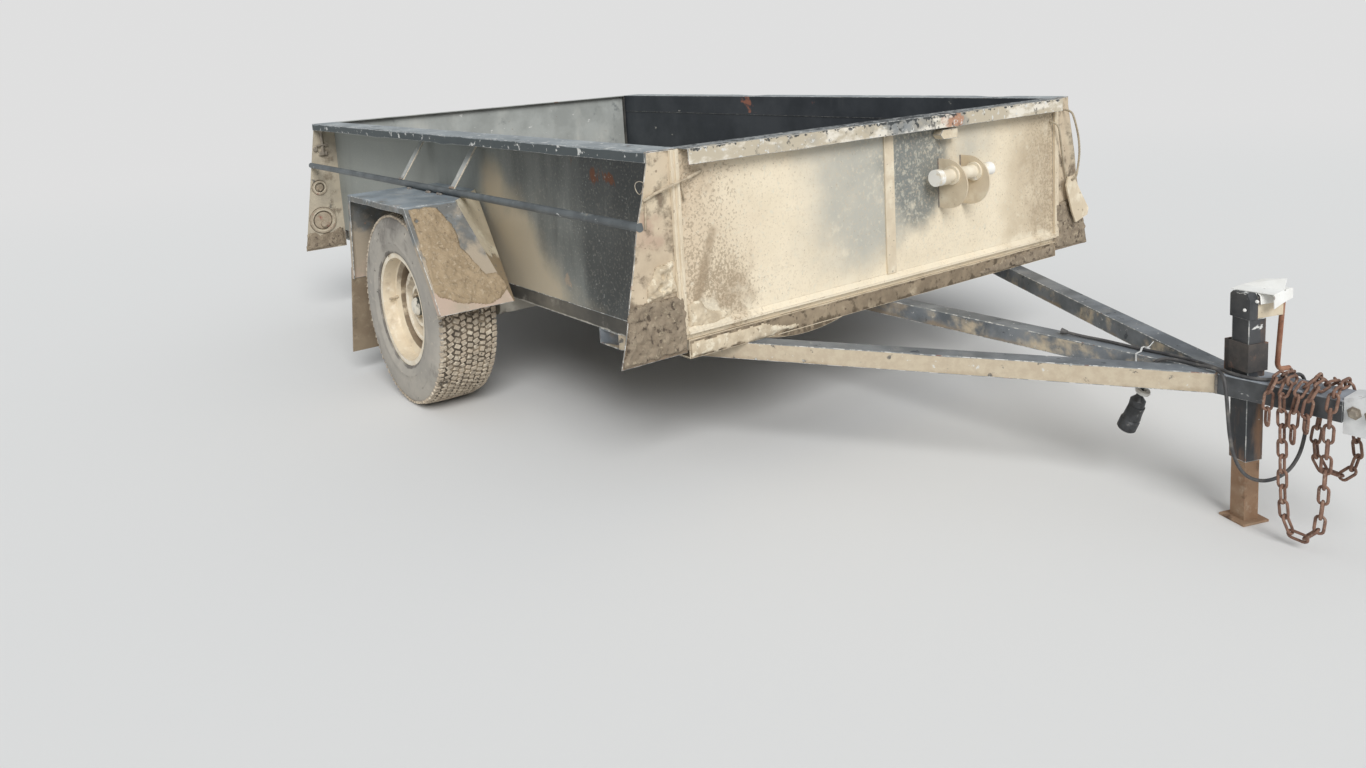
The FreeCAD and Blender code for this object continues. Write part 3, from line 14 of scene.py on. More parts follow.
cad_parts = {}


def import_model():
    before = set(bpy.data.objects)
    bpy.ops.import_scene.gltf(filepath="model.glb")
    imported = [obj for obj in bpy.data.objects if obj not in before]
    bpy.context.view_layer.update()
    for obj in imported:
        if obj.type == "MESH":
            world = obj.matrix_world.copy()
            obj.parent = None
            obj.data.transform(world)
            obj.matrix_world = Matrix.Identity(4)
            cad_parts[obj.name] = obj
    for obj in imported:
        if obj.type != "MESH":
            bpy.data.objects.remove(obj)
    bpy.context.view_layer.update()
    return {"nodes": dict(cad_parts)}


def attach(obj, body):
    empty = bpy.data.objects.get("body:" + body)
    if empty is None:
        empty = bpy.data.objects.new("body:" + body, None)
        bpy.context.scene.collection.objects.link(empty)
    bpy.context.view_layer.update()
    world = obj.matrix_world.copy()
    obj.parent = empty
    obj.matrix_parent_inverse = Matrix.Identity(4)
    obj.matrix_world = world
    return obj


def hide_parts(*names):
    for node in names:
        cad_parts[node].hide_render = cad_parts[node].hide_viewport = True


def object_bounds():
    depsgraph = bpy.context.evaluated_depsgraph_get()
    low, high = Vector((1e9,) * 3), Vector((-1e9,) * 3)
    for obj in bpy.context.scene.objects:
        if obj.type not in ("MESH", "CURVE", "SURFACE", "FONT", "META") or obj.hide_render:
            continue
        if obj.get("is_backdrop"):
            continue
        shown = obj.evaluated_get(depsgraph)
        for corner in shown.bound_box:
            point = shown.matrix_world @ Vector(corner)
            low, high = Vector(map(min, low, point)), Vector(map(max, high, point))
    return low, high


LOG = logging.getLogger("box_trailer")

# The fitted trailer frame: the axle stands this far from the middle of the length.
AXLE_X = -0.582
# The same scale along every axis.
EVEN = (1.0, 1.0, 1.0)

# Short names of types.
Colour = tuple[float, float, float]
Point = tuple[float, float, float]
Shape = bmesh.types.BMesh
Thing = bpy.types.Object
Mesh = bpy.types.Mesh
Node = bpy.types.Node
Socket = bpy.types.NodeSocket
Nodes = dict[str, Thing]


class Side(Enum):
    """The two sides of the trailer."""

    RIGHT = -1
    LEFT = 1

    @property
    def word(self) -> str:
        """The side as it stands in a node's name."""
        return self.name.lower()


@dataclass(frozen=True)
class Spot:
    """A soft round place that adds to a coat, or takes from it.

    Attributes:
        centre: Middle of the place, in metres.
        radius: Distance at which it ends.
        amount: What it adds at its middle; a negative amount keeps the coat off.
    """

    centre: Point
    radius: float
    amount: float


@dataclass(frozen=True)
class Streak:
    """A soft straight mark that adds to a coat.

    Attributes:
        start: One end of the mark.
        end: The other end.
        width: Distance from its line at which it ends.
        amount: What it adds along its line.
        core: Share of that distance over which the whole amount is added.
    """

    start: Point
    end: Point
    width: float
    amount: float
    core: float = 0.2


@dataclass(frozen=True)
class Rise:
    """A straight gradient that adds to a coat.

    Attributes:
        axis: Direction along which it is measured.
        start: Distance along the axis where the whole amount is added.
        end: Distance where nothing is added any more.
        amount: What it adds at the start.
    """

    axis: Point
    start: float
    end: float
    amount: float


@dataclass(frozen=True)
class Coat:
    """One layer of dust, mud, rust or chips, or of painted shade or painted highlight, over what lies below
    it.

    Attributes:
        colour: Colour of the layer.
        low: Noise level below which the layer is absent.
        high: Noise level above which it is whole.
        scale: Noise scale per metre.
        detail: Octaves of the noise.
        strength: Opacity where the layer is whole.
        stretch: Scale of the pattern along each axis.
        second: Colour that it is broken up with.
        height: Thickness in metres, for the bump.
        roughness: Roughness of the layer.
        cells: Whether the pattern is of round specks instead of clouds.
        spots: Places that add to it or take from it.
        rises: Gradients that add to it.
        streaks: Straight marks that add to it.
    """

    colour: Colour
    low: float
    high: float
    scale: float = 6.0
    detail: float = 5.0
    strength: float = 1.0
    stretch: Point = EVEN
    second: Colour | None = None
    height: float = 0.0
    roughness: float = 0.9
    cells: bool = False
    spots: tuple[Spot, ...] = ()
    rises: tuple[Rise, ...] = ()
    streaks: tuple[Streak, ...] = ()


# Sockets of the mix node. Columns: first value, second value, result.
MIX_SOCKETS = {"RGBA": (6, 7, 2), "FLOAT": (2, 3, 0)}

# Ragged specks: how far they wander, how much finer the wandering is, how rare the large ones are, and the
# reach of the largest and of the smallest.
SPECK_WANDER, SPECK_FINER, SPECK_CHANCE, SPECK_REACH, SPECK_LEAST = 0.6, 1.7, 3.0, 0.75, 0.06


class Wiring:
    """Short calls for a tree of nodes."""

    def __init__(self, tree: bpy.types.NodeTree) -> None:
        """Start on a tree without its nodes."""
        self.tree = tree
        self.tree.nodes.clear()

    def add(self, kind: str, inputs: dict[str | int, object] | None = None, **settings: object) -> Node:
        """Add a node.

        Args:
            kind: Blender's name of the node type.
            inputs: Outputs or plain values for its sockets, by their names or numbers.
            **settings: Properties to set on it.

        Returns:
            The new node.
        """
        node = self.tree.nodes.new(kind)
        for key, value in settings.items():
            setattr(node, key, value)
        for key, value in (inputs or {}).items():
            socket = node.inputs[key]
            if isinstance(value, Socket):
                self.tree.links.new(value, socket)
            elif socket.type == "RGBA":
                socket.default_value = (*value, 1.0)
            else:
                socket.default_value = value
        return node

    def math(self, operation: str, *values: object, clamp: bool = False) -> Socket:
        """Do one sum on outputs or numbers, kept between 0 and 1 if clamp is set."""
        node = self.add("ShaderNodeMath", dict(enumerate(values)), operation=operation, use_clamp=clamp)
        return node.outputs[0]


class Graph(Wiring):
    """Short calls for the nodes of one material."""

    def __init__(self, name: str) -> None:
        """Start an empty material.

        Args:
            name: Name of the material.
        """
        self.material = bpy.data.materials.new(name)
        self.material.use_nodes = True
        super().__init__(self.material.node_tree)
        self.place = self.add("ShaderNodeTexCoord").outputs["Object"]

    def close(self, shader: Node) -> bpy.types.Material:
        """Wire a shader to the surface of the material, and give the material."""
        self.add("ShaderNodeOutputMaterial", {"Surface": shader.outputs[0]})
        return self.material

    def mix(self, share: object, first: object, second: object, kind: str = "RGBA") -> Socket:
        """Blend two colours, or two numbers of kind FLOAT, with a share of the second one."""
        below, above, result = MIX_SOCKETS[kind]
        return self.add("ShaderNodeMix", {"Factor": share, below: first, above: second},
                        data_type=kind).outputs[result]

    def vector(self, operation: str, first: object, second: object) -> Socket:
        """Do one sum on vectors, or on a vector and the number that scales it."""
        node = self.add("ShaderNodeVectorMath", {0: first, 3 if operation == "SCALE" else 1: second},
                        operation=operation)
        return node.outputs["Value" if operation in ("DISTANCE", "DOT_PRODUCT") else "Vector"]

    def mapped(self, stretch: Point) -> Socket:
        """Object coordinates, scaled along each axis."""
        return self.place if stretch == EVEN else self.vector("MULTIPLY", self.place, stretch)

    def clouds(self, scale: float, detail: float, stretch: Point = EVEN, roughness: float = 0.6) -> Socket:
        """A cloud pattern of about 0.5 on average, by scale, octaves, stretch and fine strength."""
        inputs = {"Vector": self.mapped(stretch), "Scale": scale, "Detail": detail, "Roughness": roughness}
        return self.add("ShaderNodeTexNoise", inputs).outputs[0]

    def specks(self, scale: float, stretch: Point = EVEN) -> Socket:
        """A pattern of ragged specks of many sizes.

        Args:
            scale: Scale per metre.
            stretch: Scale along each axis.

        Returns:
            The pattern's value, 1 at the middle of each speck.
        """
        noisy = self.add("ShaderNodeTexNoise", {"Vector": self.place, "Scale": scale * SPECK_FINER})
        wander = self.vector("SCALE", noisy.outputs["Color"], SPECK_WANDER / scale)
        place = self.vector("ADD", self.mapped(stretch), wander)
        node = self.add("ShaderNodeTexVoronoi", {"Vector": place, "Scale": scale}, feature="F1")
        chance = self.math("POWER", node.outputs["Color"], SPECK_CHANCE)
        reach = self.math("ADD", self.math("MULTIPLY", chance, SPECK_REACH), SPECK_LEAST)
        return self.math("SUBTRACT", 1.0, self.math("DIVIDE", node.outputs["Distance"], reach))

    def level(self, value: object, low: float, high: float, to_low: float = 0.0,
              to_high: float = 1.0) -> Socket:
        """Map the range from low to high smoothly to the other range, and clamp it."""
        inputs = dict(enumerate((value, low, high, to_low, to_high)))
        return self.add("ShaderNodeMapRange", inputs, interpolation_type="SMOOTHSTEP", clamp=True).outputs[0]

    def spot(self, spot: Spot) -> Socket:
        """The amount that a spot adds at each point."""
        away = self.vector("DISTANCE", self.place, spot.centre)
        return self.level(away, spot.radius * 0.15, spot.radius, spot.amount, 0.0)

    def rise(self, rise: Rise) -> Socket:
        """The amount that a gradient adds at each point."""
        along = self.vector("DOT_PRODUCT", self.place, rise.axis)
        return self.level(along, rise.start, rise.end, rise.amount, 0.0)

    def streak(self, streak: Streak) -> Socket:
        """The amount that a straight mark adds at each point.

        Args:
            streak: The mark.

        Returns:
            The amount.
        """
        start = Vector(streak.start)
        run = Vector(streak.end) - start
        from_start = self.vector("SUBTRACT", self.place, tuple(start))
        share = self.vector("DOT_PRODUCT", from_start, tuple(run / run.length_squared))
        ahead = self.vector("SCALE", tuple(run), self.math("ADD", share, 0.0, clamp=True))
        away = self.vector("DISTANCE", from_start, ahead)
        return self.level(away, streak.width * streak.core, streak.width, streak.amount, 0.0)


@dataclass(frozen=True)
class Finish:
    """A surface: its own colour and gloss, and the coats on it from the bottom up.

    Attributes:
        name: Name of the material.
        colour: Its own colour.
        faded: The colour that it is mottled with.
        roughness: Its own roughness.
        mottle: Scale of the mottling.
        coats: What lies on it.
        metal: How metallic it is.
        grain: Height of its fine grain in metres.
        grain_scale: Scale of that grain.
    """

    name: str
    colour: Colour
    faded: Colour
    roughness: float = 0.6
    mottle: float = 4.0
    coats: tuple[Coat, ...] = ()
    metal: float = 0.0
    grain: float = 0.0002
    grain_scale: float = 220.0

    def coat_mask(self, graph: Graph, coat: Coat) -> Socket:
        """Where a coat lies.

        Args:
            graph: The material being built.
            coat: The coat.

        Returns:
            Its opacity at each point.
        """
        if coat.cells:
            value = graph.specks(coat.scale, coat.stretch)
        else:
            value = graph.clouds(coat.scale, coat.detail, coat.stretch)
        for make, marks in ((graph.spot, coat.spots), (graph.rise, coat.rises), (graph.streak, coat.streaks)):
            for mark in marks:
                value = graph.math("ADD", value, make(mark))
        return graph.level(value, coat.low, coat.high, 0.0, coat.strength)

    def build(self) -> bpy.types.Material:
        """Build the material.

        Returns:
            The material, made once and used again by its name.
        """
        known = bpy.data.materials.get(f"{self.name}_look")
        if known is not None:
            return known
        graph = Graph(f"{self.name}_look")
        colour = graph.mix(graph.level(graph.clouds(self.mottle, 6.0), 0.35, 0.68), self.colour, self.faded)
        rough: object = self.roughness
        metal: object = self.metal
        height = graph.math("MULTIPLY", graph.clouds(self.grain_scale, 3.0), self.grain)
        for coat in self.coats:
            mask = self.coat_mask(graph, coat)
            tint: object = coat.colour
            if coat.second is not None:
                share = graph.level(graph.clouds(coat.scale * 3.7 + 9.0, 6.0, roughness=0.7), 0.36, 0.64)
                tint = graph.mix(share, coat.colour, coat.second)
            colour = graph.mix(mask, colour, tint)
            rough = graph.mix(mask, rough, coat.roughness, "FLOAT")
            if self.metal > 0.0:
                metal = graph.mix(mask, metal, 0.0, "FLOAT")
            if coat.height > 0.0:
                fine = graph.clouds(coat.scale * 5.0 + 30.0, 5.0, roughness=0.65)
                lumps = graph.math("MULTIPLY", fine, 0.8)
                layer = graph.math("MULTIPLY", graph.math("ADD", lumps, 0.6), coat.height)
                height = graph.math("ADD", height, graph.math("MULTIPLY", mask, layer))
        bump = graph.add("ShaderNodeBump", {"Distance": 1.0, "Strength": 1.0, "Height": height})
        return graph.close(graph.add("ShaderNodeBsdfPrincipled", {
            "Base Color": colour, "Roughness": rough, "Metallic": metal, "Normal": bump.outputs[0]}))


NAVY = (0.055, 0.064, 0.074)
CHIP = (0.7, 0.7, 0.67)
RUST = (0.24, 0.085, 0.035)
UP = (0.0, 0.0, 1.0)
DOWN = (0.0, 0.0, -1.0)
AHEAD = (1.0, 0.0, 0.0)
LEFT = (0.0, 1.0, 0.0)

# Lines that rings run about. Columns: one end, other end.
AXLE = ((AXLE_X, -1.4, 0.348), (AXLE_X, 1.4, 0.348))
LAMPS = tuple(((-2.4, y, 0.476), (-1.9, y, 0.476)) for y in (-0.947, 0.947))
MARKERS = tuple(((-2.4, y, 0.636), (-1.9, y, 0.64)) for y in (-0.947, 0.947))


def rings(lines: tuple[tuple[Point, Point], ...], *rows: tuple[float, float, float]) -> tuple[Streak, ...]:
    """Rings about some lines.

    Args:
        lines: The two ends of each line.
        *rows: Inner radius, outer radius and amount of each ring.

    Returns:
        The marks that make them.
    """
    return tuple(Streak(*line, radius, share, 0.97) for line in lines for inner, outer, amount in rows
                 for radius, share in ((outer, amount), (inner, -amount)))


WHITE_CHIPS = Coat(CHIP, 0.655, 0.7, 42, 6, stretch=(0.5, 0.5, 1), roughness=0.7)
RUST_CHIPS = Coat(RUST, 0.66, 0.7, 24, 7, 0.7)
FINE_DUST = Coat((0.46, 0.43, 0.36), 0.5, 0.8, 110, 3, 0.35)

# Every finish. Columns: name, own colour, colour of its mottling, roughness, scale of the mottling, coats;
# of a coat: colour, lowest and highest noise level, scale, octaves, strength.
FINISHES = {look.name: look for look in (
    Finish("side_paint", (0.06, 0.066, 0.065), (0.088, 0.095, 0.092), 0.55, 4, (
        Coat((0.33, 0.345, 0.318), 0.4, 1, 2.8, 5, 0.95, stretch=(1.6, 1.6, 0.3), rises=(
            Rise(AHEAD, -0.55, -1.1, -0.24), Rise(AHEAD, -0.45, 0.55, 0.54), Rise(UP, 0.42, 0.62, 0.12))),
        Coat((0.52, 0.445, 0.325), 0.66, 1.4, 5, 5, 0.95, height=0.0006, spots=(
            Spot((-0.38, -0.845, 0.56), 0.34, 0.84), Spot((-0.2, -0.845, 0.44), 0.3, 0.62),
            Spot((0.02, -0.845, 0.4), 0.34, 0.34), Spot((-0.45, -0.845, 0.79), 0.15, 0.52),
            Spot((-0.4, 0.845, 0.6), 0.36, 0.8), Spot((-0.2, 0.845, 0.44), 0.3, 0.5)), rises=(
            Rise(UP, 0.415, 0.5, 0.16),)),
        Coat((0.36, 0.37, 0.34), 0.6, 0.8, 22, 7, 0.4, stretch=(1.4, 1.4, 0.16)),
        FINE_DUST,
        Coat(RUST, 0.74, 0.82, 14, 7, 0.75, stretch=(1.5, 1.5, 0.4), spots=(
            Spot((0.255, -0.845, 0.845), 0.075, 0.3), Spot((0.335, -0.845, 0.835), 0.05, 0.3),
            Spot((0.1, -0.845, 0.91), 0.1, 0.16))),
        Coat((0.43, 0.33, 0.24), 0.76, 0.92, 34, 6, 0.7, spots=(Spot((0.044, -0.845, 0.487), 0.05, 0.4),)),
        Coat((0.46, 0.46, 0.43), 0.42, 0.66, 80, 5, 0.4, cells=True))),
    Finish("front_panel_dust", (0.87, 0.765, 0.585), (0.8, 0.695, 0.52), 0.8, 7, (
        Coat((0.66, 0.535, 0.385), 0.52, 1.05, 3, 7, 0.9, rises=(Rise(LEFT, -0.86, -0.46, 0.5),)),
        Coat((0.575, 0.475, 0.335), 0.55, 1.05, 3.6, 7, 0.9, rises=(Rise(LEFT, 0.86, 0.3, 0.58),)),
        Coat((0.45, 0.45, 0.405), 0.62, 1.15, 3.2, 7, 0.85, spots=(Spot((0.68, -0.15, 0.74), 0.46, 0.66),
            Spot((0.68, 0.4, 0.86), 0.3, 0.3))),
        Coat((0.2, 0.215, 0.205), 0.66, 1.12, 5, 8, 0.92, spots=(Spot((0.68, 0.1, 0.82), 0.25, 0.72),
            Spot((0.68, -0.02, 0.6), 0.16, 0.26), Spot((0.68, -0.14, 0.86), 0.16, 0.2),
            Spot((0.68, 0.13, 0.66), 0.17, 0.34))),
        Coat((0.7, 0.66, 0.54), 0.56, 0.7, 70, 4, 0.5, spots=(Spot((0.68, 0.06, 0.78), 0.34, 0.05),)),
        Coat((0.4, 0.305, 0.205), 0.6, 1.4, 24, 9, 0.9, height=0.001, spots=(
            Spot((0.68, -0.68, 0.515), 0.17, 0.56), Spot((0.68, 0.76, 0.7), 0.24, 0.4),
            Spot((0.68, -0.79, 0.83), 0.14, 0.3), Spot((0.68, 0.78, 0.5), 0.16, 0.34)), streaks=(
            Streak((0.68, -0.738, 0.7), (0.68, -0.802, 0.53), 0.03, 0.66),)),
        Coat((0.36, 0.28, 0.19), 0.5, 0.8, 84, 5, 0.62, cells=True, rises=(Rise(LEFT, -0.9, -0.5, 0.1),
            Rise(LEFT, 0.9, 0.5, 0.12))),
        Coat((0.3, 0.225, 0.145), 0.62, 0.8, 130, 4, 0.8, height=0.0006, spots=(
            Spot((0.68, -0.7, 0.53), 0.2, 0.12), Spot((0.68, -0.1, 0.6), 0.6, -0.1)), rises=(
            Rise(LEFT, -0.9, -0.46, 0.16), Rise(LEFT, 0.88, 0.52, 0.19))),
        Coat((0.62, 0.52, 0.38), 0.52, 0.66, 130, 3, 0.4, height=0.0004),
        Coat((0.84, 0.76, 0.6), 0.56, 0.8, 14, 5, 0.7, height=0.001, spots=(
            Spot((0.68, -0.76, 0.45), 0.1, 0.4),), rises=(Rise(UP, 0.455, 0.5, 0.16),)))),
    Finish("front_trim_dust", (0.74, 0.635, 0.475), (0.62, 0.52, 0.375), 0.8, 9, (
        Coat((0.84, 0.76, 0.6), 0.5, 0.7, 16, 7, 0.8, height=0.0006),
        Coat((0.3, 0.23, 0.15), 0.66, 0.76, 34, 7, 0.7, height=0.0008),
        Coat((0.25, 0.19, 0.125), 0.4, 0.66, 90, 5, 0.6, cells=True))),
    Finish("bar_dust", (0.86, 0.79, 0.64), (0.74, 0.65, 0.5), 0.7, 14, (
        Coat((0.93, 0.92, 0.88), 0.6, 0.72, 22, 6, 0.9, rises=(Rise(LEFT, 0.146, 0.15, 0.24),
            Rise(LEFT, 0.4, 0.34, 0.16))),
        # Dark line across the bar near its end, in a crease: painted shade.
        Coat((0.16, 0.13, 0.1), 0.7, 0.76, 30, 6, 0.9, streaks=(
            Streak((0.74, 0.15, 0.7), (0.74, 0.162, 0.79), 0.0045, 0.4, 0.7),)))),
    # Its own colours are darkened as painted shade.
    Finish("sill_dust", (0.36, 0.285, 0.195), (0.22, 0.17, 0.115), 0.85, 12, (
        # Pale dust, whole on the top strip, where it is also painted light.
        Coat((0.6, 0.5, 0.36), 0.56, 0.74, 10, 7, 0.85, height=0.0008, rises=(Rise(LEFT, -0.45, -0.38, -0.1),
            Rise(UP, 0.418, 0.412, 0.2))),
        # Dark coat, strongest in a band under the ledge and at the foot: painted shadow.
        Coat((0.1, 0.075, 0.048), 0.54, 0.68, 26, 7, 0.9, height=0.001, rises=(Rise(UP, 0.364, 0.38, 0.12),
            Rise(UP, 0.412, 0.404, 0.1), Rise(UP, 0.416, 0.413, -0.3))),
        Coat((0.1, 0.07, 0.045), 0.36, 0.62, 70, 5, 0.7, cells=True))),
    Finish("rail_front", (0.2, 0.215, 0.22), (0.3, 0.31, 0.305), 0.6, 12, (
        Coat((0.56, 0.49, 0.37), 0.4, 0.66, 7, 7, 0.95, height=0.0006, spots=(
            Spot((0.73, 0.05, 0.92), 0.22, -0.3),), rises=(Rise(AHEAD, 0.727, 0.722, 0.3),
            Rise(AHEAD, 0.7, 0.716, -0.3))),
        Coat((0.5, 0.27, 0.17), 0.72, 0.82, 30, 6, 0.9, spots=(Spot((0.727, 0.205, 0.92), 0.05, 0.46),
            Spot((0.727, 0.262, 0.925), 0.05, 0.46))),
        Coat((0.84, 0.79, 0.69), 0.6, 0.72, 16, 7, 0.85, stretch=(1, 0.5, 1), rises=(
            Rise(AHEAD, 0.7255, 0.722, 0.1), Rise(UP, 0.944, 0.9425, -0.08))),
        Coat((0.055, 0.06, 0.062), 0.64, 0.72, 44, 8, 0.95, spots=(Spot((0.73, 0.05, 0.92), 0.36, 0.1),),
            rises=(Rise(UP, 0.941, 0.93, 0.14),)),
        Coat((0.1, 0.095, 0.09), 0.6, 0.68, 26, 7, 0.8),
        Coat(CHIP, 0.6, 0.66, 60, 6, 0.9))),
    Finish("wing_dust", (0.64, 0.53, 0.385), (0.52, 0.42, 0.3), 0.85, 8, (
        Coat((0.74, 0.65, 0.48), 0.46, 0.7, 9, 7, 0.8, height=0.001),
        Coat((0.5, 0.36, 0.27), 0.6, 0.76, 8, 7, 0.7, spots=(Spot((0.68, -0.93, 0.74), 0.1, 0.16),
            Spot((0.68, -0.9, 0.83), 0.08, 0.12))),
        Coat((0.24, 0.185, 0.13), 0.46, 0.66, 18, 8, height=0.003, rises=(Rise(UP, 0.5, 0.56, 0.46),)),
        Coat((0.26, 0.2, 0.14), 0.36, 0.6, 54, 5, 0.8, cells=True))),
    Finish("wing_crust", (0.24, 0.19, 0.135), (0.34, 0.275, 0.2), 0.95, 26, (
        Coat((0.46, 0.38, 0.27), 0.53, 0.66, 62, 6, 0.8, height=0.002),
        Coat((0.07, 0.05, 0.035), 0.55, 0.66, 50, 7, 0.85)), grain=0.0022, grain_scale=90),
    Finish("pale_crust", (0.66, 0.56, 0.41), (0.5, 0.41, 0.29), 0.95, 24, (
        Coat((0.82, 0.74, 0.58), 0.5, 0.64, 40, 6, 0.85),
        Coat((0.24, 0.18, 0.12), 0.62, 0.72, 52, 6, 0.8)), grain=0.0016, grain_scale=110),
    Finish("guard_mud", (0.42, 0.32, 0.205), (0.335, 0.25, 0.155), 0.95, 22, (
        Coat((0.56, 0.45, 0.31), 0.5, 0.66, 85, 5, 0.75, height=0.0016),
        Coat((0.2, 0.145, 0.09), 0.57, 0.7, 75, 6, 0.8)), grain=0.0022, grain_scale=95),
    # Pale cream on the bent flanges, which are turned to the light: dust and painted light.
    Finish("guard_flange", (0.7, 0.62, 0.47), (0.6, 0.52, 0.38), 0.85, 10, (
        Coat((0.82, 0.76, 0.6), 0.52, 0.68, 16, 7, 0.8),
        Coat((0.34, 0.26, 0.165), 0.66, 0.78, 24, 7, 0.95, height=0.001, spots=(
            Spot((-0.22, -0.94, 0.46), 0.15, 0.75), Spot((-0.22, 0.94, 0.46), 0.15, 0.75))),
        Coat((0.2, 0.2, 0.19), 0.6, 0.7, 50, 6, 0.7))),
    Finish("rear_wing", (0.44, 0.385, 0.3), (0.56, 0.49, 0.375), 0.85, 10, (
        Coat((0.5, 0.44, 0.34), 0.54, 0.72, 14, 7, 0.7, height=0.0008),
        Coat((0.2, 0.155, 0.11), 0.52, 0.72, 16, 8, 0.85, height=0.002, rises=(Rise(UP, 0.36, 0.44, 0.2),)),
        Coat((0.09, 0.07, 0.05), 0.62, 0.84, 24, 6, 0.85, streaks=(*rings(LAMPS, (0.05, 0.066, 0.36)),
            *rings(MARKERS, (0.026, 0.037, 0.36)))),
        Coat(NAVY, 0.62, 0.68, 12, 6, 0.6, rises=(Rise(UP, 0.94, 0.86, 0.1),)))),
    Finish("guard_paint", (0.2, 0.235, 0.26), (0.3, 0.345, 0.375), 0.5, 7, (
        Coat((0.36, 0.385, 0.39), 0.46, 0.7, 9, 6, 0.8),
        Coat((0.175, 0.172, 0.158), 0.5, 0.9, 20, 7, 0.95, rises=(Rise(UP, 0.728, 0.734, 0.34),)),
        Coat((0.46, 0.385, 0.29), 0.56, 0.86, 16, 7, 0.95, height=0.0006, rises=(Rise(UP, 0.7, 0.728, 0.1),
            Rise(UP, 0.5, 0.66, 0.36))),
        Coat((0.55, 0.42, 0.335), 0.66, 0.9, 12, 6, 0.8, rises=(Rise(UP, 0.44, 0.52, 0.34),)),
        Coat((0.085, 0.088, 0.085), 0.57, 0.66, 60, 7, 0.8, rises=(Rise(UP, 0.58, 0.7, -0.12),
            Rise(UP, 0.733, 0.728, -0.1))),
        Coat((0.42, 0.22, 0.14), 0.68, 0.72, 30, 6, 0.7),
        Coat(CHIP, 0.67, 0.71, 46, 6, 0.9))),
    # Rounded edges: chipped and rusty paint on a strip paler than the faces, a painted highlight along the
    # edges.
    Finish("worn_edge", (0.2, 0.22, 0.225), (0.34, 0.35, 0.34), 0.5, 30, (
        Coat((0.74, 0.73, 0.69), 0.49, 0.58, 44, 6, 0.9, roughness=0.6),
        Coat(RUST, 0.6, 0.66, 34, 6, 0.7),
        Coat(NAVY, 0.62, 0.68, 22, 6, 0.9))),
    Finish("pale_edge", (0.74, 0.65, 0.5), (0.62, 0.52, 0.38), 0.75, 30, (
        Coat((0.3, 0.22, 0.145), 0.6, 0.68, 42, 6, 0.8),)),
    Finish("beam_paint", (0.12, 0.135, 0.15), (0.22, 0.24, 0.26), 0.5, 10, (
        Coat((0.34, 0.335, 0.32), 0.52, 0.8, 12, 7, 0.7),
        Coat((0.55, 0.455, 0.33), 0.46, 0.62, 9, 7, 0.95, second=(0.62, 0.53, 0.39), height=0.0006, rises=(
            Rise(UP, 0.3595, 0.3625, 0.22), Rise(UP, 0.364, 0.3625, -0.34),
            Rise((-0.5, 0.866, 0), -0.875, -0.835, 0.3), Rise((0.5, 0.866, 0), 0.835, 0.875, -0.26))),
        Coat((0.34, 0.255, 0.165), 0.56, 0.74, 8, 7, 0.7, stretch=(0.5, 1, 1), rises=(
            Rise(UP, 0.3635, 0.3615, -0.4), Rise(UP, 0.314, 0.335, 0.14))),
        Coat(NAVY, 0.62, 0.68, 30, 7, 0.8),
        Coat(CHIP, 0.66, 0.7, 60, 6, 0.8))),
    Finish("tongue_paint", (0.055, 0.058, 0.06), (0.1, 0.105, 0.11), 0.45, 14, (
        # Pale bluish coat on the top: painted highlight.
        Coat((0.34, 0.37, 0.41), 0.62, 0.92, 10, 6, 0.95, rises=(Rise(UP, 0.3635, 0.3605, 0.42),)),
        Coat((0.2, 0.15, 0.11), 0.6, 0.72, 20, 7, 0.6),
        WHITE_CHIPS)),
    Finish("chassis_paint", (0.07, 0.066, 0.058), (0.12, 0.112, 0.095), 0.7, 4, (
        Coat((0.24, 0.215, 0.17), 0.42, 0.72, 5, 6, 0.75, stretch=(0.5, 1, 1)),
        Coat((0.52, 0.49, 0.42), 0.56, 0.76, 12, 6, 0.85, rises=(Rise(UP, 0.3665, 0.371, 0.22),)),
        RUST_CHIPS)),
    Finish("rim_paint", (0.8, 0.7, 0.535), (0.72, 0.61, 0.45), 0.5, 14, (
        Coat((0.52, 0.42, 0.3), 0.55, 0.78, 16, 7, 0.7, height=0.0004),
        # Dark coat on the upper inside of the rim, kept off the flange ring: painted shade.
        Coat((0.2, 0.155, 0.11), 0.56, 1, 12, 6, 0.9, rises=(Rise((-0.2, 0, 0.98), 0.64, 0.4, 0.46),),
            streaks=(*rings((AXLE,), (0.183, 0.24, -0.6)),)),
        # Dark rings at the foot of the well and of the crown, and a dark middle round the hub: painted shade
        # in the creases.
        Coat((0.22, 0.165, 0.11), 0.62, 0.86, 18, 6, 0.9, streaks=(
            *rings((AXLE,), (0.152, 0.164, 0.4), (0.08, 0.096, 0.4)), Streak(*AXLE, 0.054, 0.44, 0.95))),
        Coat((0.16, 0.1, 0.06), 0.665, 0.7, 28, 7, 0.75),
        # Pale rings on the ridge, the crown's lip and the flange: painted highlights.
        Coat((0.9, 0.83, 0.7), 0.6, 0.84, 30, 5, 0.85, streaks=(
            *rings((AXLE,), (0.121, 0.134, 0.26), (0.066, 0.077, 0.28), (0.188, 0.22, 0.2)),)))),
    Finish("hub_paint", (0.045, 0.052, 0.045), (0.09, 0.1, 0.085), 0.5, 26, (
        Coat((0.3, 0.26, 0.19), 0.56, 0.72, 30, 6, 0.7),
        Coat((0.84, 0.79, 0.68), 0.8, 0.98, 30, 5, 0.95, rises=(Rise(LEFT, -1.119, -1.112, 0.5),
            Rise(LEFT, 1.119, 1.112, 0.5))))),
    Finish("tyre_rubber", (0.37, 0.345, 0.305), (0.45, 0.415, 0.36), 0.9, 7, (
        Coat((0.16, 0.145, 0.13), 0.55, 0.8, 9, 8, 0.75, rises=(Rise((-0.3, 0, 0.95), 0.88, 0.62, 0.22),)),
        Coat((0.1, 0.09, 0.08), 0.66, 0.98, 20, 6, 0.75, streaks=(Streak(*AXLE, 0.22, 0.42, 0.95),
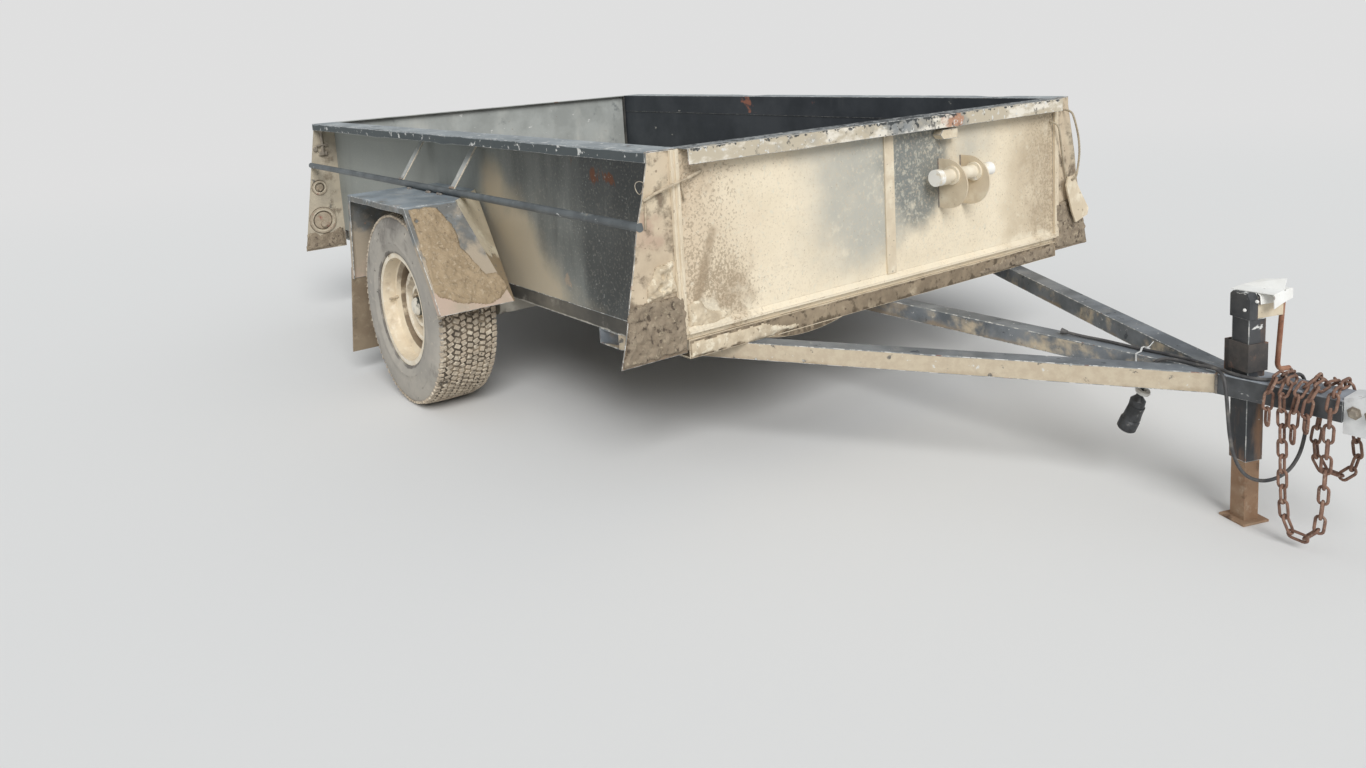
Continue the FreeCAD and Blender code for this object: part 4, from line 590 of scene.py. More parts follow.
            *rings((AXLE,), (0.241, 0.247, 0.2), (0.296, 0.302, 0.2)))),
        Coat((0.06, 0.055, 0.05), 0.66, 0.72, 30, 7, 0.8),
        Coat((0.62, 0.56, 0.46), 0.6, 0.74, 34, 6, 0.6, height=0.0006))),
    Finish("tread_rubber", (0.56, 0.47, 0.36), (0.34, 0.285, 0.22), 0.95, 30, (
        Coat((0.76, 0.67, 0.53), 0.5, 0.64, 60, 6, 0.85, height=0.001),
        Coat((0.07, 0.058, 0.045), 0.58, 0.66, 40, 6, 0.9))),
    Finish("groove_mud", (0.075, 0.062, 0.047), (0.18, 0.145, 0.105), 0.95, 40, (
        Coat((0.42, 0.34, 0.24), 0.5, 0.66, 22, 6, 0.8, height=0.002),)),
    Finish("flap_rubber", (0.24, 0.18, 0.12), (0.3, 0.235, 0.16), 0.9, 7, (
        Coat((0.42, 0.34, 0.24), 0.52, 0.72, 16, 7, 0.8, height=0.001),
        Coat((0.1, 0.08, 0.06), 0.6, 0.72, 12, 7, 0.7))),
    Finish("galvanised", (0.74, 0.75, 0.745), (0.84, 0.85, 0.84), 0.5, 24, (
        Coat((0.34, 0.32, 0.29), 0.56, 0.78, 14, 7, 0.75),
        Coat((0.88, 0.88, 0.85), 0.62, 0.7, 50, 6, 0.6),
        RUST_CHIPS), metal=0.15),
    Finish("jack_paint", (0.03, 0.033, 0.038), (0.07, 0.072, 0.075), 0.5, 10, (
        Coat((0.24, 0.22, 0.19), 0.62, 0.84, 14, 7, 0.7, stretch=(1, 1, 0.3), rises=(
            Rise(UP, 0.42, 0.5, 0.1),)),
        Coat((0.3, 0.175, 0.105), 0.56, 0.74, 12, 7, 0.95, stretch=(1, 1, 0.25), height=0.0006, rises=(
            Rise(UP, 0.16, 0.34, 0.12), Rise(AHEAD, 1.8, 1.788, 0.16))),
        WHITE_CHIPS)),
    Finish("jack_cover", (0.93, 0.93, 0.9), (0.86, 0.85, 0.81), 0.6, 16, (
        Coat((0.56, 0.48, 0.36), 0.62, 0.78, 18, 7, 0.6),
        Coat((0.2, 0.15, 0.1), 0.68, 0.73, 40, 6, 0.7))),
    Finish("rusty_collar", (0.05, 0.048, 0.048), (0.1, 0.085, 0.075), 0.7, 16, (
        Coat((0.34, 0.17, 0.11), 0.58, 0.74, 18, 7, 0.8, rises=(Rise(UP, 0.448, 0.432, 0.12),
            Rise(AHEAD, 1.715, 1.735, 0.1))),
        Coat((0.52, 0.4, 0.33), 0.64, 0.74, 34, 6, 0.7),
        Coat((0.04, 0.035, 0.035), 0.54, 0.66, 14, 6, 0.7))),
    Finish("rusty_leg", (0.28, 0.165, 0.095), (0.38, 0.26, 0.17), 0.8, 12, (
        Coat((0.5, 0.4, 0.3), 0.56, 0.72, 22, 7, 0.7, height=0.0005),
        Coat((0.1, 0.055, 0.035), 0.58, 0.7, 18, 7, 0.8))),
    Finish("rusty_chain", (0.16, 0.085, 0.06), (0.28, 0.16, 0.11), 0.8, 60, (
        Coat((0.44, 0.34, 0.27), 0.56, 0.7, 110, 5, 0.8),)),
    Finish("crank_rust", (0.28, 0.12, 0.07), (0.4, 0.21, 0.13), 0.75, 30, (
        Coat((0.1, 0.06, 0.045), 0.58, 0.7, 50, 5, 0.7),)),
    Finish("cable_sheath", (0.045, 0.045, 0.048), (0.12, 0.115, 0.11), 0.6, 20, (
        Coat((0.26, 0.235, 0.2), 0.55, 0.74, 40, 5, 0.7),)),
    Finish("rope_lay", (0.5, 0.43, 0.32), (0.36, 0.3, 0.215), 0.95, 40, (
        Coat((0.2, 0.16, 0.115), 0.56, 0.7, 70, 5, 0.8),), grain=0.0005, grain_scale=600),
    Finish("plug_black", (0.018, 0.019, 0.02), (0.05, 0.052, 0.055), 0.4, 40, (
        Coat((0.28, 0.27, 0.25), 0.62, 0.74, 60, 5, 0.6),)),
    Finish("plug_white", (0.66, 0.66, 0.63), (0.52, 0.51, 0.47), 0.5, 40),
    Finish("lamp_lens", (0.3, 0.03, 0.025), (0.36, 0.06, 0.05), 0.3, 14, (
        Coat((0.48, 0.41, 0.31), 0.28, 0.4, 12, 6, 0.97, second=(0.36, 0.3, 0.22), height=0.0012),
        Coat((0.1, 0.08, 0.055), 0.66, 0.84, 26, 6, 0.85, streaks=(*rings(LAMPS, (0.041, 0.047, 0.4)),
            *rings(MARKERS, (0.019, 0.024, 0.4)))),
        Coat((0.6, 0.53, 0.41), 0.66, 0.84, 20, 6, 0.85, streaks=(*rings(LAMPS, (0.047, 0.056, 0.34)),
            *rings(MARKERS, (0.024, 0.03, 0.34)))))),
    # Near-black strips in the tailgate's gaps: painted shade.
    Finish("gate_dirt", (0.045, 0.045, 0.042), (0.1, 0.095, 0.085), 0.9, 20),
    Finish("bare_iron", (0.26, 0.22, 0.175), (0.36, 0.32, 0.26), 0.6, 20, (
        Coat((0.66, 0.57, 0.43), 0.5, 0.7, 20, 6, 0.85),), metal=0.2),
    Finish("weld", (0.2, 0.19, 0.18), (0.34, 0.3, 0.25), 0.5, 60, (
        Coat((0.34, 0.19, 0.12), 0.54, 0.66, 70, 5, 0.8),), metal=0.3),
    Finish("inner_paint", (0.03, 0.036, 0.044), (0.06, 0.068, 0.078), 0.5, 4, (
        Coat((0.17, 0.18, 0.175), 0.6, 0.84, 5, 7, 0.5, stretch=(1, 1, 0.5)),
        Coat((0.42, 0.17, 0.11), 0.76, 0.82, 16, 8, 0.85, spots=(Spot((-1.02, 0.845, 0.915), 0.1, 0.24),
            Spot((-0.55, 0.845, 0.905), 0.05, 0.22))),
        Coat((0.6, 0.58, 0.53), 0.7, 0.74, 16, 8, 0.7, stretch=(0.6, 1, 1)))),
    Finish("bed_paint", (0.13, 0.125, 0.115), (0.22, 0.205, 0.18), 0.8, 4, (
        Coat((0.36, 0.29, 0.205), 0.46, 0.7, 4, 8, 0.9, height=0.001),
        Coat((0.16, 0.115, 0.075), 0.6, 0.7, 18, 8, 0.7),
        RUST_CHIPS)),
    Finish("gate_paint", (0.36, 0.375, 0.355), (0.48, 0.5, 0.475), 0.7, 6, (
        Coat((0.6, 0.6, 0.55), 0.52, 0.74, 6, 5, 0.7, stretch=(1, 1, 0.4)),
        Coat((0.16, 0.175, 0.18), 0.6, 0.7, 8, 8, 0.7),
        Coat(RUST, 0.66, 0.71, 14, 8, 0.8),
        WHITE_CHIPS)),
    Finish("rail_paint", (0.25, 0.28, 0.295), (0.36, 0.395, 0.405), 0.5, 8, (
        Coat((0.5, 0.53, 0.53), 0.5, 0.7, 12, 7, 0.8, stretch=(0.6, 1, 1)),
        Coat((0.06, 0.072, 0.074), 0.54, 0.66, 10, 6, 0.92, rises=(Rise(UP, 0.937, 0.943, 0.4),
            Rise(UP, 0.9435, 0.9425, -0.05))),
        Coat(RUST, 0.68, 0.72, 20, 7, 0.7),
        Coat(CHIP, 0.6, 0.66, 34, 6, 0.9),
        WHITE_CHIPS)),
    Finish("tie_paint", (0.082, 0.093, 0.098), (0.13, 0.145, 0.15), 0.5, 10, (
        # Paler grey coat on the top: dust and painted highlight.
        Coat((0.28, 0.3, 0.29), 0.56, 0.76, 14, 7, 0.6, rises=(Rise(UP, 0.762, 0.752, 0.1),)),
        Coat((0.44, 0.37, 0.27), 0.66, 0.76, 18, 7, 0.6),
        WHITE_CHIPS)),
    Finish("strap_paint", (0.34, 0.355, 0.34), (0.48, 0.485, 0.455), 0.6, 14, (
        Coat((0.1, 0.115, 0.12), 0.58, 0.7, 22, 7, 0.7),
        Coat((0.62, 0.6, 0.54), 0.56, 0.7, 30, 6, 0.8))),
    Finish("white_tie", (0.75, 0.76, 0.76), (0.66, 0.66, 0.63), 0.45, 60),
    Finish("dead_wood", (0.58, 0.49, 0.36), (0.42, 0.34, 0.24), 0.9, 60, (
        Coat((0.24, 0.18, 0.12), 0.58, 0.68, 90, 5, 0.7, stretch=(1, 0.25, 1)),)),
)}

# Finish of each fitted node. Columns: finish, nodes.
NODE_FINISH = {
    "side_paint": ("side_wall_right", "side_wall_left"),
    "bed_paint": ("floor_sheet",),
    "rail_paint": ("cap_rail_right", "cap_rail_left"),
    "tie_paint": ("tie_rails", "tie_straps"),
    "gate_paint": ("tailgate", "hinge_knuckles"),
    "front_panel_dust": ("front_panel",),
    "rail_front": ("front_rail",),
    "front_trim_dust": ("front_rib", "panel_ears", "corner_seams", "panel_stub", "wing_tag"),
    "bar_dust": ("panel_bar",),
    "sill_dust": ("front_sill", "sill_strip"),
    "wing_dust": ("front_wings",),
    "rear_wing": ("rear_wings",),
    "guard_paint": ("mudguard_right", "mudguard_left"),
    "beam_paint": ("drawbar_centre_beam", "drawbar_side_beams"),
    "tongue_paint": ("tongue_head",),
    "chassis_paint": ("chassis_rails", "rear_sill", "crossmembers", "axle_tube", "axle_arms"),
    "hub_paint": ("hub_right", "hub_left"),
    "bare_iron": ("hinge_pins",),
    "rim_paint": ("rim_right", "rim_left"),
    "tyre_rubber": ("tyre_right", "tyre_left"),
    "flap_rubber": ("mudflaps",),
    "cable_sheath": ("lighting_cable", "cable_gland"),
    "rope_lay": ("wing_rope",),
    "galvanised": ("coupler_body", "coupler_latch", "coupler_shank"),
    "jack_paint": ("jack_tube", "jack_head"),
    "rusty_collar": ("jack_collar",),
    "rusty_leg": ("jack_leg", "jack_foot"),
    "crank_rust": ("jack_crank",),
    "rusty_chain": ("chain_right", "chain_left"),
    "plug_black": ("cable_plug",),
    "lamp_lens": ("tail_lamps",),
}


def finish(name: str) -> bpy.types.Material:
    """The material of a named finish."""
    return FINISHES[name].build()


def dress_nodes(nodes: Nodes) -> None:
    """Give every fitted node its finish.

    Args:
        nodes: The frame's nodes by name.
    """
    for name, members in NODE_FINISH.items():
        for member in members:
            mesh = nodes[member].data
            mesh.materials.clear()
            mesh.materials.append(finish(name))


@dataclass(frozen=True)
class Dent:
    """A soft push on the sheet metal.

    Attributes:
        centre: Middle of the dent.
        reach: How far it goes along each axis.
        push: How far its middle is moved.
    """

    centre: Point
    reach: Point
    push: Point


# Dents of the tub and its rails. Columns: centre, reach, push.
DENTS = tuple(Dent(*row) for row in (
    ((0.3, -0.845, 0.66), (0.17, 0.3, 0.3), (0, 0.009, 0)),
    ((-0.02, -0.845, 0.7), (0.13, 0.3, 0.26), (0, -0.006, 0)),
    ((0.5, -0.845, 0.58), (0.12, 0.3, 0.2), (0, -0.005, 0)),
    ((-1.5, -0.845, 0.72), (0.2, 0.3, 0.24), (0, 0.008, 0)),
    ((-1.85, -0.845, 0.66), (0.14, 0.3, 0.22), (0, 0.005, 0)),
    ((-0.42, 0.845, 0.68), (0.22, 0.3, 0.26), (0, -0.01, 0)),
    ((0.28, 0.845, 0.64), (0.16, 0.3, 0.24), (0, 0.006, 0)),
    ((-1.4, 0.845, 0.66), (0.2, 0.3, 0.24), (0, -0.007, 0)),
    ((-0.62, -0.93, 0.93), (0.07, 0.1, 0.1), (0, 0.005, -0.006)),
    ((-0.4, -0.93, 0.93), (0.09, 0.1, 0.1), (0, -0.003, 0)),
    ((0.2, -0.93, 0.93), (0.1, 0.1, 0.1), (0, 0.004, -0.003)),
    ((-1.3, -0.93, 0.93), (0.12, 0.1, 0.1), (0, 0.003, -0.004)),
    ((0.36, 0.93, 0.93), (0.1, 0.1, 0.1), (0, -0.006, -0.004)),
    ((-1.1, 0.93, 0.93), (0.12, 0.1, 0.1), (0, -0.004, -0.004)),
    ((0.68, -0.6, 0.66), (0.2, 0.2, 0.18), (-0.004, 0, 0)),
    ((0.68, -0.775, 0.61), (0.2, 0.035, 0.12), (0.0035, 0, 0)),
    ((0.68, 0.55, 0.66), (0.2, 0.18, 0.2), (-0.005, 0, 0)),
    ((0.715, 0.26, 0.92), (0.06, 0.08, 0.06), (-0.004, 0, -0.002)),
    ((0.715, -0.45, 0.92), (0.06, 0.14, 0.06), (-0.003, 0, -0.003)),
    ((0.678, -0.99, 0.74), (0.1, 0.07, 0.1), (-0.006, 0, 0)),
    ((0.678, -1.02, 0.46), (0.1, 0.09, 0.1), (0.005, 0, 0)),
    ((0.678, 0.98, 0.62), (0.1, 0.08, 0.12), (-0.006, 0, 0)),
    ((-2.15, -0.96, 0.72), (0.1, 0.08, 0.1), (0.005, 0, 0)),
    ((-2.15, 0.97, 0.6), (0.1, 0.08, 0.12), (0.006, 0, 0)),
    ((-0.6, -1.2, 0.735), (0.14, 0.1, 0.05), (0, 0.004, -0.005)),
    ((-0.86, -1.2, 0.73), (0.1, 0.1, 0.06), (0, 0.003, -0.004)),
    ((-0.24, -1.2, 0.5), (0.1, 0.07, 0.12), (-0.004, 0.003, 0)),
    ((-0.6, 1.2, 0.735), (0.16, 0.1, 0.05), (0, -0.004, -0.005)),
    ((-0.72, -0.972, 0.748), (0.16, 0.05, 0.05), (0, 0.002, -0.003)),
    ((0.25, -0.972, 0.748), (0.22, 0.05, 0.05), (0, 0.004, 0.002)),
))


def dented(place: Vector) -> Vector:
    """Where a point of the sheet metal goes under all the dents.

    Args:
        place: The point on the straight sheet.

    Returns:
        The point on the dented sheet.
    """
    moved = place.copy()
    for dent in DENTS:
        away = math.sqrt(sum(((place[i] - dent.centre[i]) / dent.reach[i]) ** 2 for i in range(3)))
        if away < 1.0:
            moved += Vector(dent.push) * (1.0 - away * away) ** 2
    return moved


@dataclass(frozen=True)
class PlateBend:
    """How the inner part of a mudguard's front plate is bent back to the tub.

    Attributes:
        foot: Height at which the line of the bend starts.
        height: Height over which that line leans out.
        line: Distance of the line from the middle plane at its foot.
        lean: How much farther out it ends.
        slope: How far the plate goes back for each metre inwards.
        front: Upper edge of the front plate, ahead of which the bend is whole.
        fade: Length behind that edge over which the bend ends.
        reach: Distance from the middle plane within which the bent faces have the flange's finish.
    """

    foot: float = 0.405
    height: float = 0.33
    line: float = 0.945
    lean: float = 0.075
    slope: float = 1.23
    front: float = -0.382
    fade: float = 0.368
    reach: float = 1.03

    def moved(self, place: Vector) -> Vector:
        """Where a point of a mudguard goes.

        Args:
            place: The point on the fitted guard.

        Returns:
            The point on the bent guard.
        """
        share = max(0.0, min(1.0, (place.z - self.foot) / self.height))
        back = self.slope * max(0.0, self.line + self.lean * share - abs(place.y))
        if place.x < self.front:
            back *= max(0.0, (place.x - self.front + self.fade) / self.fade)
        return place - Vector((back, 0.0, 0.0))


def closed_copy(node: Thing) -> Shape:
    """A node's shape with its loose triangles joined to flat faces.

    Args:
        node: The fitted node.

    Returns:
        The joined shape.
    """
    shape = bmesh.new()
    shape.from_mesh(node.data)
    bmesh.ops.remove_doubles(shape, verts=shape.verts, dist=1e-5)
    bmesh.ops.dissolve_limit(shape, angle_limit=0.01, verts=shape.verts, edges=shape.edges)
    return shape


def rounded(shape: Shape, radius: float, segments: int, profile: float, look: int = -1) -> None:
    """Round the sharp edges of a shape.

    Args:
        shape: The shape.
        radius: Radius of the edges.
        segments: Steps across each edge.
        profile: How full the edges are.
        look: Material number of the edges.
    """
    sharp = [edge for edge in shape.edges if edge.is_manifold and edge.calc_face_angle() > 0.6]
    bmesh.ops.bevel(shape, geom=sharp, offset=radius, segments=segments, profile=profile, affect="EDGES",
                    material=look, clamp_overlap=True)


def cut(shape: Shape, place: Point | Vector, normal: Point | Vector) -> None:
    """Cut the faces of a shape along a plane."""
    everything = [*shape.verts, *shape.edges, *shape.faces]
    bmesh.ops.bisect_plane(shape, geom=everything, dist=1e-6, plane_co=place, plane_no=normal)


def shown(thing: Thing) -> Thing:
    """Put an object into the scene, and give it back."""
    bpy.context.scene.collection.objects.link(thing)
    return thing


def evaluated_mesh(thing: Thing) -> Mesh:
    """A plain mesh of an object as its modifiers or its curve settings leave it."""
    bpy.context.view_layer.update()
    return bpy.data.meshes.new_from_object(thing.evaluated_get(bpy.context.evaluated_depsgraph_get()))


def new_object(name: str, shape: Shape | Mesh, finishes: tuple[str, ...], smooth: bool = False) -> Thing:
    """Put a finished shape into the scene.

    Args:
        name: Name of the object.
        shape: Its shape.
        finishes: Names of its finishes, in the order of the faces' material numbers.
        smooth: Whether its faces are shaded smooth.

    Returns:
        The object.
    """
    if isinstance(shape, Shape):
        mesh = bpy.data.meshes.new(name)
        shape.to_mesh(mesh)
        shape.free()
    else:
        mesh = shape
    if not mesh.materials:
        for label in finishes:
            mesh.materials.append(finish(label))
    if smooth:
        mesh.shade_smooth()
    return shown(bpy.data.objects.new(name, mesh))


def placed(name: str, shape: Shape | Mesh, finishes: tuple[str, ...],
           body: str = "trailer", stands_for: str = "", smooth: bool = False) -> Thing:
    """Put a finished piece on its body.

    Args:
        name: Name of the piece.
        shape: Its shape.
        finishes: Names of its finishes, in the order of the faces' material numbers.
        body: The body that it rides on.
        stands_for: The fitted node that it replaces, if any.
        smooth: Whether its faces are shaded smooth.

    Returns:
        The piece.
    """
    piece = new_object(name, shape, finishes, smooth)
    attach(piece, body)
    if stands_for:
        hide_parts(stands_for)
    return piece


@dataclass(frozen=True)
class Worn:
    """A fitted node made again as a used one: rounded edges with their own finish, wear and a painted
    highlight on many of them, and dents.

    Attributes:
        node: Name of the fitted node.
        slot: Slot of its finish; not used.
        face: Finish of its faces.
        edge: Finish of its rounded edges.
        bevel: Radius of those edges, in metres.
        step: Spacing of the cuts along each axis; 0 leaves the axis uncut.
        body: The body that it rides on.
        dents: Whether the dents of the tub reach it.
        inside: Finish of the faces that look inwards, where it has its own.
        inward: Direction in which those faces look.
        flange: Whether it is a mudguard, with the inner part of its front plate bent back.
    """

    node: str
    slot: str
    face: str
    edge: str
    bevel: float = 0.0012
    step: Point = (0.0, 0.0, 0.0)
    body: str = "trailer"
    dents: bool = False
    inside: str = ""
    inward: Point = (0.0, 0.0, 0.0)
    flange: bool = False

    def bend(self, shape: Shape) -> None:
        """Bend the inner part of a guard's front plate back, and note its faces.

        Args:
            shape: The guard's shape.
        """
        plate = PlateBend()
        for sign in (-1.0, 1.0):
            cut(shape, (0.0, sign * plate.line, plate.foot), (0.0, 1.0, -sign * plate.lean / plate.height))
        for vertex in shape.verts:
            vertex.co = plate.moved(vertex.co)
        shape.normal_update()
        for face in shape.faces:
            middle = face.calc_center_median()
            turned_in = -math.copysign(face.normal.y, middle.y) if face.normal.y * middle.y < 0 else 0.0
            if turned_in > 0.3 and abs(middle.y) < plate.reach and face.normal.x > 0.1:
                face.material_index = 2

    def build(self, nodes: Nodes) -> Thing:
        """Make the used piece and hide the fitted one.

        Args:
            nodes: The frame's nodes by name.

        Returns:
            The used piece.
        """
        shape = closed_copy(nodes[self.node])
        rounded(shape, self.bevel, 2, 0.6, 1)
        for axis in range(3):
            if self.step[axis] > 0.0:
                self.slice(shape, axis)
        labels = [self.face, self.edge]
        if self.flange:
            self.bend(shape)
            labels.append("guard_flange")
        if self.dents:
            for vertex in shape.verts:
                vertex.co = dented(vertex.co)
        if self.inside:
            labels.append(self.inside)
            for face in shape.faces:
                if face.material_index == 0 and face.normal.dot(Vector(self.inward)) > 0.5:
                    face.material_index = 2
        return placed(f"{self.node}_used", shape, tuple(labels), self.body, self.node)

    def slice(self, shape: Shape, axis: int) -> None:
        """Cut a shape across an axis, so that it can bend there.

        Args:
            shape: The shape.
            axis: Number of the axis.
        """
        low = min(vertex.co[axis] for vertex in shape.verts)
        high = max(vertex.co[axis] for vertex in shape.verts)
        count = max(1, round((high - low) / self.step[axis]))
        normal = Vector([1.0 if i == axis else 0.0 for i in range(3)])
        for index in range(1, count):
            cut(shape, normal * (low + (high - low) * index / count), normal)

# Fitted nodes made again as used ones. Columns: as the fields of Worn.
WORN_PIECES = (
    *(Worn(f"{node}_{side.word}", "tub_paint", face, "worn_edge", bevel, step, dents=True,
           inside="inner_paint",
           inward=(0, -side.value, 0))
      for node, face, bevel, step in (("side_wall", "side_paint", 0.0008, (0.045, 0, 0.045)),
                                      ("cap_rail", "rail_paint", 0.001, (0.035, 0.04, 0)))
      for side in Side),
    Worn("front_panel", "front_paint", "front_panel_dust", "pale_edge", 0.001, (0, 0.035, 0.035), dents=True,
         inside="inner_paint", inward=(-1, 0, 0)),
    Worn("front_rail", "front_paint", "rail_front", "worn_edge", 0.001, (0, 0.03, 0.02), dents=True),
    Worn("front_rib", "front_paint", "front_trim_dust", "pale_edge", 0.0015, (0, 0, 0.05)),
    Worn("panel_stub", "front_paint", "front_trim_dust", "worn_edge", 0.0015),
    Worn("front_sill", "wing_paint", "sill_dust", "pale_edge", 0.0012, (0, 0.05, 0)),
    Worn("sill_strip", "wing_paint", "sill_dust", "pale_edge", 0.001),
    Worn("corner_seams", "wing_paint", "front_trim_dust", "pale_edge", 0.002, (0, 0, 0.03)),
    Worn("front_wings", "wing_paint", "wing_dust", "worn_edge", 0.0012, (0, 0.025, 0.03), dents=True),
    *(Worn(f"mudguard_{side.word}", "guard_paint", "guard_paint", "worn_edge", 0.0016, (0.04, 0.03, 0.04),
           dents=True, flange=True) for side in Side),
    Worn("tie_straps", "tub_paint", "strap_paint", "pale_edge", 0.002),
    Worn("mudflaps", "rubber", "flap_rubber", "flap_rubber", 0.0015, (0, 0.04, 0.04)),
    Worn("drawbar_centre_beam", "frame_paint", "beam_paint", "worn_edge", 0.0024),
    Worn("drawbar_side_beams", "frame_paint", "beam_paint", "worn_edge", 0.0024),
    Worn("tongue_head", "frame_paint", "tongue_paint", "worn_edge", 0.003),
    Worn("coupler_shank", "galvanised", "galvanised", "galvanised", 0.002),
    Worn("coupler_latch", "galvanised", "galvanised", "galvanised", 0.004),
    Worn("chassis_rails", "frame_paint", "chassis_paint", "worn_edge", 0.0012),
    Worn("crossmembers", "frame_paint", "chassis_paint", "chassis_paint", 0.0012),
    Worn("rear_sill", "frame_paint", "chassis_paint", "worn_edge", 0.0015),
    Worn("jack_tube", "jack_steel", "jack_paint", "worn_edge", 0.003),
    Worn("jack_foot", "jack_steel", "rusty_leg", "rusty_leg", 0.0015, body="jack_leg"),
)


# Caked mud. Shares of its thickness: what is always there, fine lumps, wide lumps.
MUD_BASE, MUD_LUMPS, MUD_WAVES = 0.62, 0.42, 0.35
# Metres: how far its rim wanders, its least thickness, how deep its back is sunk into the plate.
MUD_RAGGED, MUD_LEAST, MUD_SUNK = 0.006, 0.0006, 0.0008
# Round pits: reach as a share of their spacing, depth as a share of the thickness.
PIT_REACH, PIT_DEPTH = 0.62, 1.5


@dataclass(frozen=True)
class Crust:
    """Mud caked on a flat plate: a closed lumpy shell with a ragged rim.

    Attributes:
        name: Name of the piece.
        origin: Corner from which places on the plate are measured.
        across: Unit direction along the plate.
        down: Unit direction down the plate.
        outline: Corners of the mud, as distances along the two directions.
        thickness: Mean thickness.
        cell: Size of the grid.
        margin: Distance in which the mud thins out towards its rim.
        lumps: Noise scale per metre.
        look: Finish of the mud.
        slot: Slot of the plate that it is on; not used.
        bare: Places without mud. Columns: across, down, radius.
        pits: Scale of round pits, 0 where it has none.
        flange: Whether its plate is the bent front plate of a mudguard.
    """

    name: str
    origin: Point
    across: Point
    down: Point
    outline: tuple[tuple[float, float], ...]
    thickness: float
    cell: float = 0.005
    margin: float = 0.02
    lumps: float = 28.0
    look: str = "wing_crust"
    slot: str = "wing_paint"
    bare: tuple[tuple[float, float, float], ...] = ()
    pits: float = 0.0
    flange: bool = False

    def inset(self, s: float, t: float) -> float:
        """How far a place lies inside the outline.

        Args:
            s: Distance along the plate.
            t: Distance down the plate.

        Returns:
            The distance in metres; below zero the place is outside.
        """
        nearest, inside = 9.0, False
        count = len(self.outline)
        for index in range(count):
            (s0, t0), (s1, t1) = self.outline[index], self.outline[(index + 1) % count]
            run_s, run_t = s1 - s0, t1 - t0
            share = ((s - s0) * run_s + (t - t0) * run_t) / (run_s * run_s + run_t * run_t)
            share = max(0.0, min(1.0, share))
            nearest = min(nearest, math.hypot(s - s0 - share * run_s, t - t0 - share * run_t))
            if (t0 > t) != (t1 > t) and s < s0 + run_s * (t - t0) / run_t:
                inside = not inside
        return nearest if inside else -nearest

    def height(self, s: float, t: float) -> float:
        """Thickness of the mud at a place; below zero there is none.

        Args:
            s: Distance along the plate.
            t: Distance down the plate.

        Returns:
            The thickness in metres.
        """
        key = Vector((s * self.lumps, t * self.lumps, sum(self.origin) * 7.0))
        rough = noise.fractal(key, 0.8, 2.1, 5)
        wide = noise.noise(key * 0.22)
        cover = (self.inset(s, t) + MUD_RAGGED * noise.noise(key * 0.9)) / self.margin
        for bare_s, bare_t, radius in self.bare:
            away = math.hypot(s - bare_s, t - bare_t) + 0.25 * radius * noise.noise(key * 0.5)
            cover = min(cover, (away - radius) / self.margin)
        cover = max(-1.0, min(1.0, cover))
        thick = self.thickness * (MUD_BASE + MUD_LUMPS * rough + MUD_WAVES * wide)
        if self.pits > 0.0:
            near = noise.voronoi(Vector((s * self.pits, t * self.pits * 0.62, 3.1)))[0][0]
            thick -= self.thickness * max(0.0, PIT_REACH - near) * PIT_DEPTH
        return max(thick, MUD_LEAST) * max(0.0, cover) if cover > 0.0 else -1.0

    def build(self) -> Thing:
        """Make the mud.

        Returns:
            The piece.
        """
        across, down = Vector(self.across), Vector(self.down)
        out = down.cross(across).normalized()
        wide = max(corner[0] for corner in self.outline)
        tall = max(corner[1] for corner in self.outline)
        columns, rows = math.ceil(wide / self.cell), math.ceil(tall / self.cell)
        shape = bmesh.new()
        tops, bases, kept = {}, {}, {}
        for i in range(columns + 1):
            for j in range(rows + 1):
                kept[i, j] = self.height(i * self.cell, j * self.cell)

        def corner(i: int, j: int, lifted: bool) -> bmesh.types.BMVert:
            """The vertex of a grid corner.

            Args:
                i: Number of the corner along the plate.
                j: Number of the corner down the plate.
                lifted: Whether it is on top of the mud, not under it.

            Returns:
                The vertex, made once.
            """
            table = tops if lifted else bases
            if (i, j) not in table:
                flat = Vector(self.origin) + across * (i * self.cell) + down * (j * self.cell)
                flat = PlateBend().moved(flat) if self.flange else flat
                lift = max(kept[i, j], 0.0) if lifted else -MUD_SUNK
                table[i, j] = shape.verts.new(dented(flat) + out * lift)
            return table[i, j]

        full = {(i, j) for i in range(columns) for j in range(rows)
                if sum(kept[i + a, j + b] > 0.0 for a in (0, 1) for b in (0, 1)) >= 3}
        for i, j in full:
            ring = [(i, j), (i + 1, j), (i + 1, j + 1), (i, j + 1)]
            shape.faces.new([corner(a, b, True) for a, b in ring])
            shape.faces.new([corner(a, b, False) for a, b in reversed(ring)])
            sides = ((i, j - 1), (i + 1, j), (i, j + 1), (i - 1, j))
            for near, far, beside in zip(ring, ring[1:] + ring[:1], sides):
                if beside not in full:
                    shape.faces.new([corner(*far, True), corner(*near, True), corner(*near, False),
                                     corner(*far, False)])
        bmesh.ops.recalc_face_normals(shape, faces=shape.faces)
        return placed(self.name, shape, (self.look,), smooth=True)


# The front plate of a mudguard slopes down and ahead.
GUARD_DOWN = (0.5718, 0, -0.8204)
GUARD_CORNERS = (
    (0.012, 0.01), (0.073, 0.006), (0.112, 0.02), (0.13, 0.055), (0.144, 0.085), (0.149, 0.125),
    (0.143, 0.18),
    (0.172, 0.221), (0.186, 0.262), (0.196, 0.29), (0.236, 0.287), (0.262, 0.325), (0.264, 0.35),
    (0.241, 0.361),
    (0.218, 0.383), (0.196, 0.391), (0.174, 0.393), (0.109, 0.38), (0.07, 0.368), (0.048, 0.35),
    (0.012, 0.333),
    (0.006, 0.315), (0.009, 0.185), (0.011, 0.11),
)
GUARD_CORNERS_BACK = tuple((0.36 - s, t) for s, t in reversed(GUARD_CORNERS))

